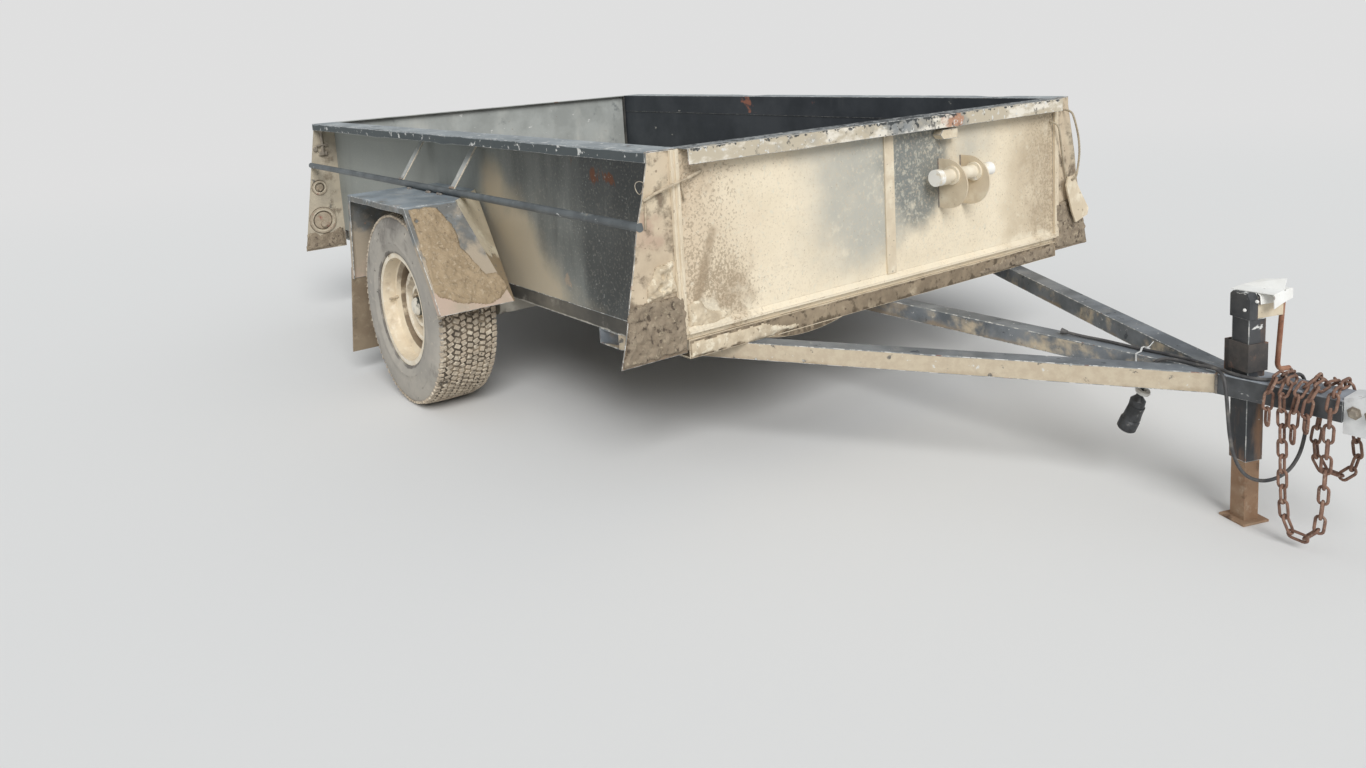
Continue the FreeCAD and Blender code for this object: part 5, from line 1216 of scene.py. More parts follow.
# Mud on the plates. Columns: as the fields of Crust.
CRUSTS = (
    Crust("guard_crust_right", (-0.382, -1.205, 0.735), LEFT, GUARD_DOWN, GUARD_CORNERS, 0.012, 0.0036, 0.007,
          44, "guard_mud", "guard_paint", ((0.029, 0.056, 0.007),), flange=True),
    Crust("guard_crust_left", (-0.382, 0.845, 0.735), LEFT, GUARD_DOWN, GUARD_CORNERS_BACK, 0.011, 0.0046,
          0.008,
          40, "guard_mud", "guard_paint", ((0.3, 0.12, 0.01),), flange=True),
    Crust("wing_crust_right", (0.68, -1.062, 0.545), LEFT, DOWN,
          ((0.036, 0), (0.216, 0), (0.216, 0.155), (0.003, 0.163)), 0.016, 0.0034, 0.008, 52),
    Crust("wing_crust_left", (0.68, 0.846, 0.56), LEFT, DOWN,
          ((0, 0), (0.176, 0), (0.212, 0.178), (0, 0.17)), 0.014, 0.004, 0.009, 46),
    Crust("wing_lump", (0.68, -0.975, 0.645), LEFT, DOWN,
          ((0.04, 0.012), (0.098, 0), (0.104, 0.086), (0.004, 0.104), (0.01, 0.064)), 0.021, 0.0028, 0.008,
          40, "pale_crust", pits=62),
    Crust("panel_heap", (0.68, -0.838, 0.525), LEFT, DOWN,
          ((0, 0.01), (0.035, 0.004), (0.062, 0.034), (0.14, 0.056), (0.165, 0.074), (0.1, 0.08),
           (0.072, 0.098), (0.035, 0.082), (0, 0.078)), 0.012, 0.003, 0.008, 44, "pale_crust", "front_paint"),
    Crust("sill_crust_right", (0.69, -0.842, 0.414), LEFT, DOWN,
          ((0, 0.004), (0.27, 0.006), (0.4, 0.04), (0.27, 0.048), (0, 0.048)), 0.006, 0.004, 0.01, 36,
          "pale_crust"),
    Crust("sill_crust_left", (0.69, 0.38, 0.412), LEFT, DOWN,
          ((0, 0.03), (0.2, 0.004), (0.45, 0.004), (0.45, 0.046), (0.06, 0.046)), 0.006, 0.0045, 0.01, 36,
          "wing_crust"),
    Crust("rear_wing_crust_right", (-2.148, -1.04, 0.45), LEFT, DOWN,
          ((0.01, 0.03), (0.19, 0.02), (0.19, 0.11), (0, 0.113)), 0.005, 0.005, 0.012, 40, "wing_crust",
          bare=((0.093, -0.026, 0.072),)),
)


class Tree(Wiring):
    """Short calls for a geometry node tree with named inputs."""

    def __init__(self, name: str) -> None:
        """Start a tree that takes and gives geometry.

        Args:
            name: Name of the tree.
        """
        super().__init__(bpy.data.node_groups.new(name, "GeometryNodeTree"))
        for way in ("OUTPUT", "INPUT"):
            self.tree.interface.new_socket("Geometry", in_out=way, socket_type="NodeSocketGeometry")
        self.source = self.add("NodeGroupInput")

    def ask(self, name: str, kind: str) -> Socket:
        """Add a named input of a socket type, and give the output that carries its value."""
        self.tree.interface.new_socket(name, in_out="INPUT", socket_type=f"NodeSocket{kind}")
        return self.source.outputs[name]

    def chance(self, wear: Socket, seed: Socket) -> tuple[Socket, Socket]:
        """Draw a number between 0 and 1 for each point, and the size that wear leaves it."""
        value = self.add("FunctionNodeRandomValue", {"Seed": seed}, data_type="FLOAT").outputs["Value"]
        return value, self.math("SUBTRACT", 1.0, self.math("MULTIPLY", wear, value))

    def close(self, inputs: dict[str, Socket], middle: Socket) -> bpy.types.NodeTree:
        """Put shapes on points, move them to their middle and give them their material.

        Args:
            inputs: Outputs that feed the node of the instances, by the names of its sockets.
            middle: The input that says where the whole goes.

        Returns:
            The finished tree.
        """
        spread = self.add("GeometryNodeInstanceOnPoints", inputs)
        real = self.add("GeometryNodeRealizeInstances", {0: spread.outputs["Instances"]})
        moved = self.add("GeometryNodeTransform", {"Geometry": real.outputs[0], "Translation": middle})
        look = self.ask("Material", "Material")
        dress = self.add("GeometryNodeSetMaterial", {"Geometry": moved.outputs[0], "Material": look})
        self.add("NodeGroupOutput", {0: dress.outputs[0]})
        return self.tree


def ring_tree() -> bpy.types.NodeTree:
    """A tree that repeats a shape round the Y axis through its middle.

    Returns:
        The tree. Inputs: Count, Start angle, Wear, Seed, Middle, Material.
    """
    known = bpy.data.node_groups.get("repeat_round_axis")
    if known is not None:
        return known
    tree = Tree("repeat_round_axis")
    count, start, wear, seed, middle = (tree.ask(name, kind) for name, kind in (
        ("Count", "Int"), ("Start angle", "Float"), ("Wear", "Float"), ("Seed", "Int"), ("Middle", "Vector")))
    points = tree.add("GeometryNodeMeshLine", {"Offset": (0.0, 0.0, 0.0), "Count": count}, mode="OFFSET")
    steps = tree.math("MULTIPLY", tree.math("DIVIDE", 2 * math.pi, count),
                      tree.add("GeometryNodeInputIndex").outputs[0])
    spin = tree.add("ShaderNodeCombineXYZ", {"Y": tree.math("ADD", steps, start)})
    _, size = tree.chance(wear, seed)
    return tree.close({"Points": points.outputs[0], "Instance": tree.source.outputs["Geometry"],
                       "Rotation": spin.outputs[0], "Scale": size}, middle)


def row_tree() -> bpy.types.NodeTree:
    """A tree that repeats a shape along a straight row, each a little turned and sized by chance.

    Returns:
        The tree. Inputs: Count, Step, Wear, Turn, Seed, Middle, Material.
    """
    known = bpy.data.node_groups.get("repeat_along_row")
    if known is not None:
        return known
    tree = Tree("repeat_along_row")
    count, step, wear, turn, seed, middle = (tree.ask(name, kind) for name, kind in (
        ("Count", "Int"), ("Step", "Vector"), ("Wear", "Float"), ("Turn", "Float"), ("Seed", "Int"),
        ("Middle", "Vector")))
    points = tree.add("GeometryNodeMeshLine", {"Count": count, "Offset": step}, mode="OFFSET")
    drawn, size = tree.chance(wear, seed)
    angle = tree.math("MULTIPLY", turn, tree.math("SUBTRACT", drawn, 0.5))
    tilt = tree.add("ShaderNodeCombineXYZ", {"X": angle, "Y": angle, "Z": angle})
    return tree.close({"Points": points.outputs[0], "Instance": tree.source.outputs["Geometry"],
                       "Rotation": tilt.outputs[0], "Scale": size}, middle)


def grown(thing: Thing, tree: bpy.types.NodeTree, values: dict[str, object]) -> Mesh:
    """Run a tree on an object.

    Args:
        thing: The object.
        tree: The tree.
        values: Values of its named inputs.

    Returns:
        The result as a plain mesh.
    """
    modifier = thing.modifiers.new("tree", "NODES")
    modifier.node_group = tree
    for item in tree.interface.items_tree:
        if item.in_out == "INPUT" and item.name in values:
            modifier[item.identifier] = values[item.name]
    mesh = evaluated_mesh(thing)
    thing.modifiers.clear()
    return mesh


def repeated(name: str, unit: Shape, tree: bpy.types.NodeTree, look: str, **inputs: object) -> Mesh:
    """Run a tree on one shape and give the result as a plain mesh.

    Args:
        name: Name of the mesh.
        unit: The shape that is repeated.
        tree: The tree.
        look: Finish of the result.
        **inputs: Values of the tree's named inputs, with spaces as underscores.

    Returns:
        The mesh.
    """
    thing = new_object(f"{name}_unit", unit, (look,))
    values = {key.replace("_", " "): value for key, value in inputs.items()}
    mesh = grown(thing, tree, {**values, "Material": finish(look)})
    mesh.name = name
    single = thing.data
    bpy.data.objects.remove(thing)
    bpy.data.meshes.remove(single)
    return mesh


def block(size: Point, centre: Point, taper: float = 1.0, bevel: float = 0.0) -> Shape:
    """A block that narrows towards its top.

    Args:
        size: Its length along each axis.
        centre: Its middle.
        taper: Width of its top as a share of its foot.
        bevel: Radius of its edges.

    Returns:
        The block.
    """
    shape = bmesh.new()
    bmesh.ops.create_cube(shape, size=1.0)
    for vertex in shape.verts:
        share = taper if vertex.co.z > 0 else 1.0
        vertex.co = Vector((vertex.co.x * size[0] * share, vertex.co.y * size[1] * share,
                            vertex.co.z * size[2]))
        vertex.co += Vector(centre)
    if bevel > 0.0:
        bmesh.ops.bevel(shape, geom=list(shape.edges), offset=bevel, segments=1, profile=0.7, affect="EDGES")
    return shape


def circle(middle: Vector, side: Vector, up: Vector, radius: float, steps: int) -> list[Vector]:
    """Points on a circle.

    Args:
        middle: Its middle.
        side: Unit direction to its first point.
        up: Unit direction to the point a quarter on.
        radius: Its radius.
        steps: Number of points.

    Returns:
        The points in turn.
    """
    angles = [2 * math.pi * index / steps for index in range(steps)]
    return [middle + (side * math.cos(angle) + up * math.sin(angle)) * radius for angle in angles]


def lofted(loops: list[list[Vector]], closed: bool = False, capped: bool = False) -> Shape:
    """A skin over loops of points.

    Args:
        loops: The points of each loop; a loop of one point is a tip.
        closed: Whether the last loop is joined to the first one.
        capped: Whether both ends are closed with a flat face.

    Returns:
        The shape.
    """
    shape = bmesh.new()
    skin = [[shape.verts.new(point) for point in loop] for loop in loops]
    steps = max(len(loop) for loop in skin)
    for first, second in zip(skin, skin[1:] + (skin[:1] if closed else [])):
        for i in range(steps):
            j = (i + 1) % steps
            corners = [loop[k % len(loop)] for loop, k in ((first, i), (first, j), (second, j), (second, i))]
            shape.faces.new(list(dict.fromkeys(corners)))
    if capped:
        shape.faces.new(skin[0])
        shape.faces.new(skin[-1])
    bmesh.ops.recalc_face_normals(shape, faces=shape.faces)
    return shape


def turned(profile: list[tuple[float, float]], centre: Point, axis: Point, segments: int = 48,
           closed: bool = False) -> Shape:
    """A turned shape.

    Args:
        profile: Pairs of distance along the axis and radius.
        centre: Point on the axis from which the distances count.
        axis: Direction of the axis.
        segments: Number of steps round it.
        closed: Whether the profile is a ring, as of a tyre, rather than ending on the axis.

    Returns:
        The shape.
    """
    along = Vector(axis).normalized()
    side = along.orthogonal().normalized()
    loops = []
    for distance, radius in profile:
        middle = Vector(centre) + along * distance
        loops.append(circle(middle, side, along.cross(side), radius, segments) if radius > 1e-6 else [middle])
    return lofted(loops, closed)


def joined(*shapes: Shape) -> Shape:
    """Several shapes as one.

    Args:
        *shapes: The shapes, which are used up.

    Returns:
        The one shape.
    """
    whole = bmesh.new()
    for shape in shapes:
        mesh = bpy.data.meshes.new("part")
        shape.to_mesh(mesh)
        shape.free()
        whole.from_mesh(mesh)
        bpy.data.meshes.remove(mesh)
    return whole


def slab(corners: tuple[Point, ...], thickness: float = 0.0016) -> Shape:
    """A thin flat plate.

    Args:
        corners: Its corners in turn.
        thickness: Its thickness.

    Returns:
        The plate, closed all round.
    """
    shape = bmesh.new()
    face = shape.faces.new([shape.verts.new(corner) for corner in corners])
    face.normal_update()
    push = face.normal * thickness
    copies = bmesh.ops.extrude_face_region(shape, geom=[face])
    for item in copies["geom"]:
        if isinstance(item, bmesh.types.BMVert):
            item.co += push
    bmesh.ops.recalc_face_normals(shape, faces=shape.faces)
    return shape


def heading(line: list[Vector], index: int) -> Vector:
    """Direction of a line of points at one of them."""
    return (line[min(index + 1, len(line) - 1)] - line[max(index - 1, 0)]).normalized()


def swept(points: list[Point], radius: float, sides: int = 10) -> Shape:
    """A round bar along some points, closed at both ends.

    Args:
        points: Points of its middle line.
        radius: Radius of the bar.
        sides: Number of sides.

    Returns:
        The bar.
    """
    line = [Vector(point) for point in points]
    side = (line[1] - line[0]).orthogonal().normalized()
    loops = []
    for index, middle in enumerate(line):
        along = heading(line, index)
        side = (side - along * side.dot(along)).normalized()
        loops.append(circle(middle, side, along.cross(side), radius, sides))
    return lofted(loops, capped=True)


def smooth_curve(name: str, points: list[Point], steps: int) -> Thing:
    """Put a smooth curve through a route into the scene.

    Args:
        name: Name of the curve.
        points: The route's points.
        steps: Steps between two of them.

    Returns:
        The curve's object.
    """
    curve = bpy.data.curves.new(name, "CURVE")
    curve.dimensions = "3D"
    curve.resolution_u = steps
    spline = curve.splines.new("NURBS")
    spline.points.add(len(points) - 1)
    for point, place in zip(spline.points, points):
        point.co = (*place, 1.0)
    spline.use_endpoint_u = True
    spline.order_u = 3
    return shown(bpy.data.objects.new(name, curve))


# Route of the lighting cable. Columns: ahead of the axle, from the middle plane, height, in millimetres.
CABLE_ROUTE = [
    (1876, -4, 374), (1915, 2, 370), (1965, 9, 369), (2020, 7, 369), (2080, 1, 369), (2140, 5, 369),
    (2200, 3, 369),
    (2255, -8, 369), (2300, -24, 369), (2340, -38, 369), (2378, -39, 369), (2408, -28, 369), (2428, -2, 370),
    (2438, 30, 374), (2447, 64, 371), (2452, 75, 330), (2456, 70, 280), (2458, 62, 225), (2454, 40, 172),
    (2440, 4, 136), (2412, -36, 122), (2382, -62, 134), (2362, -72, 170), (2350, -74, 220), (2343, -72, 275),
    (2337, -69, 328), (2326, -60, 366), (2302, -45, 376), (2270, -35, 372), (2234, -28, 369),
    (2198, -28, 371),
    (2164, -40, 372), (2142, -56, 352), (2131, -61, 318), (2124, -62, 290),
]


@dataclass
class LightingCable:
    """The cable along the tongue, with its plug.

    Attributes:
        radius: Radius of the sheath.
        length: Whole length of the cable; not used.
    """

    radius: float = 0.00425
    length: float = 1.49

    def build(self, nodes: Nodes) -> Thing:
        """Lay the cable along its route.

        Args:
            nodes: The frame's nodes by name; not used.

        Returns:
            The cable's curve.
        """
        route = [(AXLE_X + x / 1000, y / 1000, z / 1000) for x, y, z in CABLE_ROUTE]
        cable = smooth_curve("lighting_cable_run", route, 6)
        cable.data.bevel_depth = self.radius
        cable.data.bevel_resolution = 4
        cable.data.use_fill_caps = True
        cable.data.materials.append(finish("cable_sheath"))
        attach(cable, "trailer")
        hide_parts("lighting_cable")
        self.plug_parts()
        return cable

    def plug_parts(self) -> None:
        """Make the plug's hanging lid and the white ring round its neck."""
        lid = [(-0.046, 0), (-0.046, 0.02), (-0.004, 0.0212), (0.000, 0.024), (0.026, 0.024), (0.029, 0.0215),
               (0.03, 0)]
        neck = [(-0.005, 0.0075), (-0.005, 0.017), (0, 0.019), (0.005, 0.017), (0.005, 0.0075),
                (-0.005, 0.0075)]
        for name, profile, middle, look in (("plug_lid", lid, (1.5135, -0.064, 0.2), "plug_black"),
                                            ("plug_ring", neck, (1.5465, -0.064, 0.283), "plug_white")):
            placed(name, turned(profile, middle, (-0.4, 0, -0.92), 40), (look,))


# Route of the rope on the left front wing. Columns: ahead of the front panel, left of the side wall, height,
# in millimetres.
ROPE_ROUTE = [
    (0, 60, 899), (37, 60, 899), (42, 76, 858), (42, 98, 800), (43, 104, 745), (44, 94, 694), (44, 77, 640),
    (7, 77, 640), (9, 58, 692), (15, 36, 745), (26, 8, 802), (36, -18, 860), (0, -18, 860),
]


def line_of(name: str, points: list[Point], steps: int) -> list[Vector]:
    """Points read from a smooth line through a route.

    Args:
        name: Name of the line.
        points: The route's points.
        steps: Steps between two of them.

    Returns:
        Points along the line.
    """
    thing = smooth_curve(name, points, steps)
    curve = thing.data
    mesh = evaluated_mesh(thing)
    line = [vertex.co.copy() for vertex in mesh.vertices]
    bpy.data.objects.remove(thing)
    bpy.data.curves.remove(curve)
    bpy.data.meshes.remove(mesh)
    return line


@dataclass(frozen=True)
class WingRope:
    """The rope through the left front wing, laid of three strands.

    Attributes:
        radius: Radius over the strands.
        length: Whole length of the rope; not used.
        lay: Length of one turn of the strands.
        groove: Depth of the grooves between them, as a share of the radius.
        sides: Number of points round the rope.
    """

    radius: float = 0.004
    length: float = 0.592
    lay: float = 0.030
    groove: float = 0.15
    sides: int = 18

    def build(self) -> Thing:
        """Lay the strands along the route.

        Returns:
            The rope.
        """
        route = [(AXLE_X + 1.262 + x / 1000, 0.845 + y / 1000, z / 1000) for x, y, z in ROPE_ROUTE]
        line = line_of("rope_line", route, 20)
        side = (line[1] - line[0]).orthogonal().normalized()
        loops, walked = [], 0.0
        for index, middle in enumerate(line):
            along = heading(line, index)
            walked += (middle - line[max(index - 1, 0)]).length
            side = (side - along * side.dot(along)).normalized()
            loop = circle(Vector(), side, along.cross(side), self.radius, self.sides)
            for i, out in enumerate(loop):
                turn = 2 * math.pi * (i / self.sides - walked / self.lay)
                loop[i] = middle + out * (1.0 - self.groove * (0.5 - 0.5 * math.cos(3 * turn)))
            loops.append(loop)
        rope = placed("wing_rope_laid", lofted(loops, capped=True), ("rope_lay",),
                      stands_for="wing_rope",
                      smooth=True)
        return rope


@dataclass(frozen=True)
class RoadWheel:
    """A tyre with its tread, and the small parts of its rim.

    Attributes:
        side: Side of the trailer.
        middle_y: Middle of the tyre beside the middle plane.
        height: Height of the axle.
        blocks: How often the tread unit is repeated round the tyre.
        steps: Steps of the tread in one unit.
        studs: Number of wheel nuts.
        stud_radius: Radius of the circle of the nuts.
        tread_foot: Radius of the tyre from which on it is groove.
        valve_angle: Where the valve is round the rim, in degrees from the top.
        valve_radius: Distance of the valve from the axle.
        block_long: Length of a tread block round the tyre.
        block_high: Height of a tread block.
        block_taper: Width of its top as a share of its foot.
        block_edge: Radius of its edges.
        block_sunk: Depth of its middle under its top.
        long_range: Least and greatest share of the length, by chance.
        wide_range: Least and greatest share of the width, by chance.
        turn_range: Degrees by which a block is turned at most, by chance.
        sunk_range: Metres by which it is worn at most, by chance.
        shoulder: Distance from the middle beyond which the blocks lean.
        shoulder_lean: Lean of those blocks.
    """

    side: Side
    middle_y: float = 1.0725
    height: float = 0.348
    blocks: int = 32
    steps: int = 3
    studs: int = 5
    stud_radius: float = 0.0572
    tread_foot: float = 0.337
    valve_angle: float = -88.0
    valve_radius: float = 0.176
    block_long: float = 0.02
    block_high: float = 0.009
    block_taper: float = 0.84
    block_edge: float = 0.001
    block_sunk: float = 0.0045
    long_range: tuple[float, float] = (0.66, 1.06)
    wide_range: tuple[float, float] = (0.86, 1.16)
    turn_range: float = 14.0
    sunk_range: float = 0.0012
    shoulder: float = 0.08
    shoulder_lean: float = 0.22

    @property
    def middle(self) -> Point:
        """Middle of the tyre."""
        return (AXLE_X, self.side.value * self.middle_y, self.height)

    @property
    def body(self) -> str:
        """The body that turns."""
        return f"wheel_{self.side.word}"

    def carcass(self) -> Shape:
        """The tyre under its tread, as a closed hollow ring.

        Returns:
            Its shape.
        """
        # Outside and inside of one half. Columns: distance from the middle plane of the tyre, radius.
        half = ((0, 0.3436), (0.04, 0.3432), (0.078, 0.3415), (0.0925, 0.338), (0.099, 0.3325),
                (0.1045, 0.324), (0.108, 0.314), (0.1105, 0.299), (0.1122, 0.28), (0.1122, 0.26),
                (0.1098, 0.2462), (0.1114, 0.242), (0.111, 0.237), (0.1085, 0.229), (0.105, 0.218),
                (0.103, 0.207), (0.0995, 0.2025))
        inner = ((0, 0.332), (0.076, 0.329), (0.098, 0.3), (0.101, 0.256), (0.0995, 0.212),
                 (0.0988, 0.2095))
        ring = [(-y, r) for y, r in reversed(half[1:])] + list(half)
        ring += list(reversed(inner)) + [(-y, r) for y, r in inner[1:]]
        shape = turned(ring, self.middle, (0, 1, 0), 128, closed=True)
        for face in shape.faces:
            away = face.calc_center_median() - Vector(self.middle)
            if math.hypot(away.x, away.z) > self.tread_foot:
                face.material_index = 1
        return shape

    def tread_unit(self) -> Shape:
        """A few steps of the worn tread.

        Returns:
            Their blocks, at the top of a tyre that stands at the origin.
        """
        step = 2 * math.pi / (self.blocks * self.steps)
        chance = Random(7 + self.side.value)
        # Rows of blocks. Columns: offset, width, share of a step, turn in degrees, height of the top.
        rows = ((-0.0925, 0.021, 0.55, 6, 0.342), (-0.069, 0.021, 0.05, 26, 0.3462),
                (-0.045, 0.021, 0.6, -24, 0.3472),
                (-0.0225, 0.02, 0.2, 20, 0.3477), (0, 0.02, 0.8, -22, 0.3478),
                (0.0225, 0.02, 0.35, 22, 0.3477),
                (0.045, 0.021, 0.9, -20, 0.3472), (0.069, 0.021, 0.45, 24, 0.3462),
                (0.0925, 0.021, 0, 6, 0.342))
        parts = []
        for number in range(self.steps):
            for offset, width, share, turn, top in rows:
                size = (self.block_long * chance.uniform(*self.long_range),
                        width * chance.uniform(*self.wide_range), self.block_high)
                part = block(size, (0, 0, 0), self.block_taper, self.block_edge)
                lean = math.copysign(self.shoulder_lean, offset) if abs(offset) > self.shoulder else 0.0
                spin = math.radians(turn + chance.uniform(-self.turn_range, self.turn_range))
                tilt = Matrix.Rotation(-lean, 4, "X") @ Matrix.Rotation(spin, 4, "Z")
                bmesh.ops.transform(part, matrix=tilt, verts=part.verts)
                drop = self.block_sunk + chance.uniform(0.0, self.sunk_range)
                turned_on = Matrix.Rotation((number + share) * step, 4, "Y")
                lifted = Matrix.Translation((0.0, offset, top - drop))
                bmesh.ops.transform(part, matrix=turned_on @ lifted, verts=part.verts)
                parts.append(part)
        return joined(*parts)

    def build(self, nodes: Nodes) -> Thing:
        """Make the tyre with its tread.

        Args:
            nodes: The frame's nodes by name.

        Returns:
            The tyre.
        """
        word = self.side.word
        seed = 5 + self.side.value
        tread = repeated(f"tread_{word}", self.tread_unit(), ring_tree(), "tread_rubber", Count=self.blocks,
                         Start_angle=0.0, Wear=0.002, Seed=seed, Middle=self.middle)
        shape = self.carcass()
        for face in shape.faces:
            face.smooth = True
        first = len(shape.faces)
        shape.from_mesh(tread)
        shape.faces.ensure_lookup_table()
        for face in shape.faces[first:]:
            face.material_index = 2
        bpy.data.meshes.remove(tread)
        looks = ("tyre_rubber", "groove_mud", "tread_rubber")
        tyre = placed(f"tyre_{word}_road", shape, looks, self.body, f"tyre_{word}")
        self.rim_parts(nodes)
        return tyre

    def rim_parts(self, nodes: Nodes) -> None:
        """Add the wheel nuts and the valve.

        Args:
            nodes: The frame's nodes by name.
        """
        out = float(self.side.value)
        rim = nodes[f"rim_{self.side.word}"]
        centre = Vector(self.middle)

        def face_at(place: Vector) -> float:
            """Measure how far the rim stands out.

            Args:
                place: Where it is measured.

            Returns:
                Distance from the middle of the tyre to the outer face of the rim.
            """
            start = Vector((place.x, out * 1.4, place.z))
            hit, where, _, _ = rim.ray_cast(start, Vector((0.0, -out, 0.0)))
            return out * where.y - self.middle_y if hit else 0.0

        seat = face_at(centre + Vector((0.0, 0.0, self.stud_radius)))
        nut = turned([(-0.002, 0), (-0.002, 0.0135), (0.001, 0.0135), (0.002, 0.0105), (0.014, 0.0105),
                      (0.017, 0.006),
                      (0.023, 0.0058), (0.0235, 0)], (0, out * seat, self.stud_radius), (0, out, 0),
                      12)
        nuts = repeated(f"nuts_{self.side.word}", nut, ring_tree(), "rim_paint", Count=self.studs,
                        Start_angle=math.radians(8.0), Wear=0.0, Seed=0, Middle=self.middle)
        angle = math.radians(self.valve_angle)
        foot = centre + Vector((math.sin(angle), 0.0, math.cos(angle))) * self.valve_radius
        valve_seat = out * (self.middle_y + face_at(foot))
        valve = turned([(-0.004, 0), (-0.004, 0.006), (0.006, 0.0058), (0.01, 0.0042), (0.026, 0.004),
                        (0.027, 0.0048), (0.034, 0.0048), (0.035, 0)], (foot.x, valve_seat, foot.z),
                       (-0.25 * math.sin(angle), out, -0.25 * math.cos(angle)), 16)
        for name, shape, look in (("nuts", nuts, "rim_paint"), ("valve", valve, "dead_wood")):
            placed(f"rim_{self.side.word}_{name}", shape, (look,), self.body)


# Middles of the links of the short turns over the tongue, in metres.
TURNS = (
    ((1.846, -0.066, 0.296), (1.847, -0.066, 0.334), (1.848, -0.053, 0.367), (1.85, -0.019, 0.379),
     (1.852, 0.019, 0.379), (1.853, 0.053, 0.367), (1.854, 0.066, 0.334), (1.855, 0.066, 0.298)),
    ((1.901, -0.066, 0.268), (1.902, -0.066, 0.304), (1.904, -0.065, 0.34), (1.908, -0.046, 0.37),
     (1.912, -0.013, 0.379)),
    ((1.928, -0.066, 0.3), (1.93, -0.066, 0.336), (1.934, -0.052, 0.367), (1.939, -0.018, 0.379),
     (1.945, 0.018, 0.379), (1.946, 0.052, 0.367), (1.947, 0.066, 0.336), (1.947, 0.066, 0.3)),
)


@dataclass(frozen=True)
class SafetyChains:
    """Both chains, with round bent links where the fitted ones lie.

    Attributes:
        pitch: Step from link to link.
        wire: Thickness of a link's bar.
        inside: Inside width of a link.
        sides: Sides of the bar.
    """

    pitch: float = 0.036
    wire: float = 0.0068
    inside: float = 0.012
    sides: int = 8

    def link(self) -> Shape:
        """One link, bent to a long loop along X, flat in the XY plane.

        Returns:
            Its shape.
        """
        bend = (self.inside + self.wire) / 2
        straight = (self.pitch + self.wire) / 2 - bend
        loops = []
        for end, start in ((1, -0.5), (-1, 0.5)):
            for index in range(8):
                angle = math.pi * (start + index / 7)
                out = Vector((math.cos(angle), math.sin(angle), 0.0))
                middle = Vector((end * straight, 0, 0)) + out * bend
                loops.append(circle(middle, out, Vector(UP), self.wire / 2, self.sides))
        shape = lofted(loops, closed=True)
        for face in shape.faces:
            face.smooth = True
        return shape

    def tree(self) -> bpy.types.NodeTree:
        """A tree that puts a link on every point, turned as the point says.

        Returns:
            The tree. Inputs: Link, Middle, Material.
        """
        known = bpy.data.node_groups.get("links_on_points")
        if known is not None:
            return known
        tree = Tree("links_on_points")
        link = tree.ask("Link", "Object")
        unit = tree.add("GeometryNodeObjectInfo", {"Object": link}, transform_space="ORIGINAL")
        turn = tree.add("GeometryNodeInputNamedAttribute", {"Name": "turn"}, data_type="FLOAT_VECTOR")
        return tree.close({"Points": tree.source.outputs["Geometry"], "Instance": unit.outputs["Geometry"],
                           "Rotation": turn.outputs["Attribute"]}, tree.ask("Middle", "Vector"))

    def poses(self, node: Thing) -> list[tuple[Vector, Matrix]]:
        """Where the fitted links are, and how they are turned.

        Args:
            node: The fitted chain.

        Returns:
            The middle and the turn of each link.
        """
        shape = bmesh.new()
        shape.from_mesh(node.data)
        bmesh.ops.remove_doubles(shape, verts=shape.verts, dist=1e-5)
        found, seen = [], set()
        for first in shape.verts:
            if first.index in seen:
                continue
            part, queue = [], [first]
            seen.add(first.index)
            while queue:
                vertex = queue.pop()
                part.append(vertex.co.copy())
                for edge in vertex.link_edges:
                    other = edge.other_vert(vertex)
                    if other.index not in seen:
                        seen.add(other.index)
                        queue.append(other)
            cloud = np.array(part)
            middle = cloud.mean(axis=0)
            _, _, axes = np.linalg.svd(cloud - middle)
            along, across = Vector(axes[0]), Vector(axes[1])
            found.append((Vector(middle), Matrix((along, across, along.cross(across))).transposed()))
        shape.free()
        return found

    def build(self, nodes: Nodes) -> None:
        """Make both chains.

        Args:
            nodes: The frame's nodes by name.
        """
        unit = new_object("link_unit", self.link(), ("rusty_chain",))
        for side in Side:
            name = f"chain_{side.word}"
            self.laid(f"{name}_links", self.poses(nodes[name]), unit, name)
        for number, middles in enumerate(TURNS):
            self.laid(f"chain_turn_{number}", self.turn_poses(middles), unit)
        bpy.data.objects.remove(unit)

    def turn_poses(self, middles: tuple[Point, ...]) -> list[tuple[Vector, Matrix]]:
        """How the links of a short turn are turned.

        Args:
            middles: The links' middles.

        Returns:
            The middle and the turn of each link.
        """
        line = [Vector(middle) for middle in middles]
        found = []
        for index, middle in enumerate(line):
            along = heading(line, index)
            side = (Vector(AHEAD) - along * along.x).normalized()
            roll = Matrix.Rotation(math.radians(45.0 if index % 2 else -45.0), 3, along)
            across = roll @ side
            found.append((middle, Matrix((along, across, along.cross(across))).transposed()))
        return found

    def laid(self, name: str, poses: list[tuple[Vector, Matrix]], unit: Thing, stands_for: str = "") -> Thing:
        """Put links where they lie.

        Args:
            name: Name of the piece.
            poses: The middle and the turn of each link.
            unit: One link.
            stands_for: The fitted node that they replace, if any.

        Returns:
            The piece.
        """
        mesh = bpy.data.meshes.new(f"{name}_points")
        mesh.from_pydata([tuple(middle) for middle, _ in poses], [], [])
        turns = mesh.attributes.new("turn", "FLOAT_VECTOR", "POINT")
        for item, (_, turn) in zip(turns.data, poses):
            item.vector = turn.to_euler("XYZ")
        thing = placed(name, mesh, ("rusty_chain",), stands_for=stands_for)
        thing.data = grown(thing, self.tree(), {"Link": unit, "Material": finish("rusty_chain")})
        bpy.data.meshes.remove(mesh)
        LOG.info("made %s of %d links", name, len(poses))
        return thing


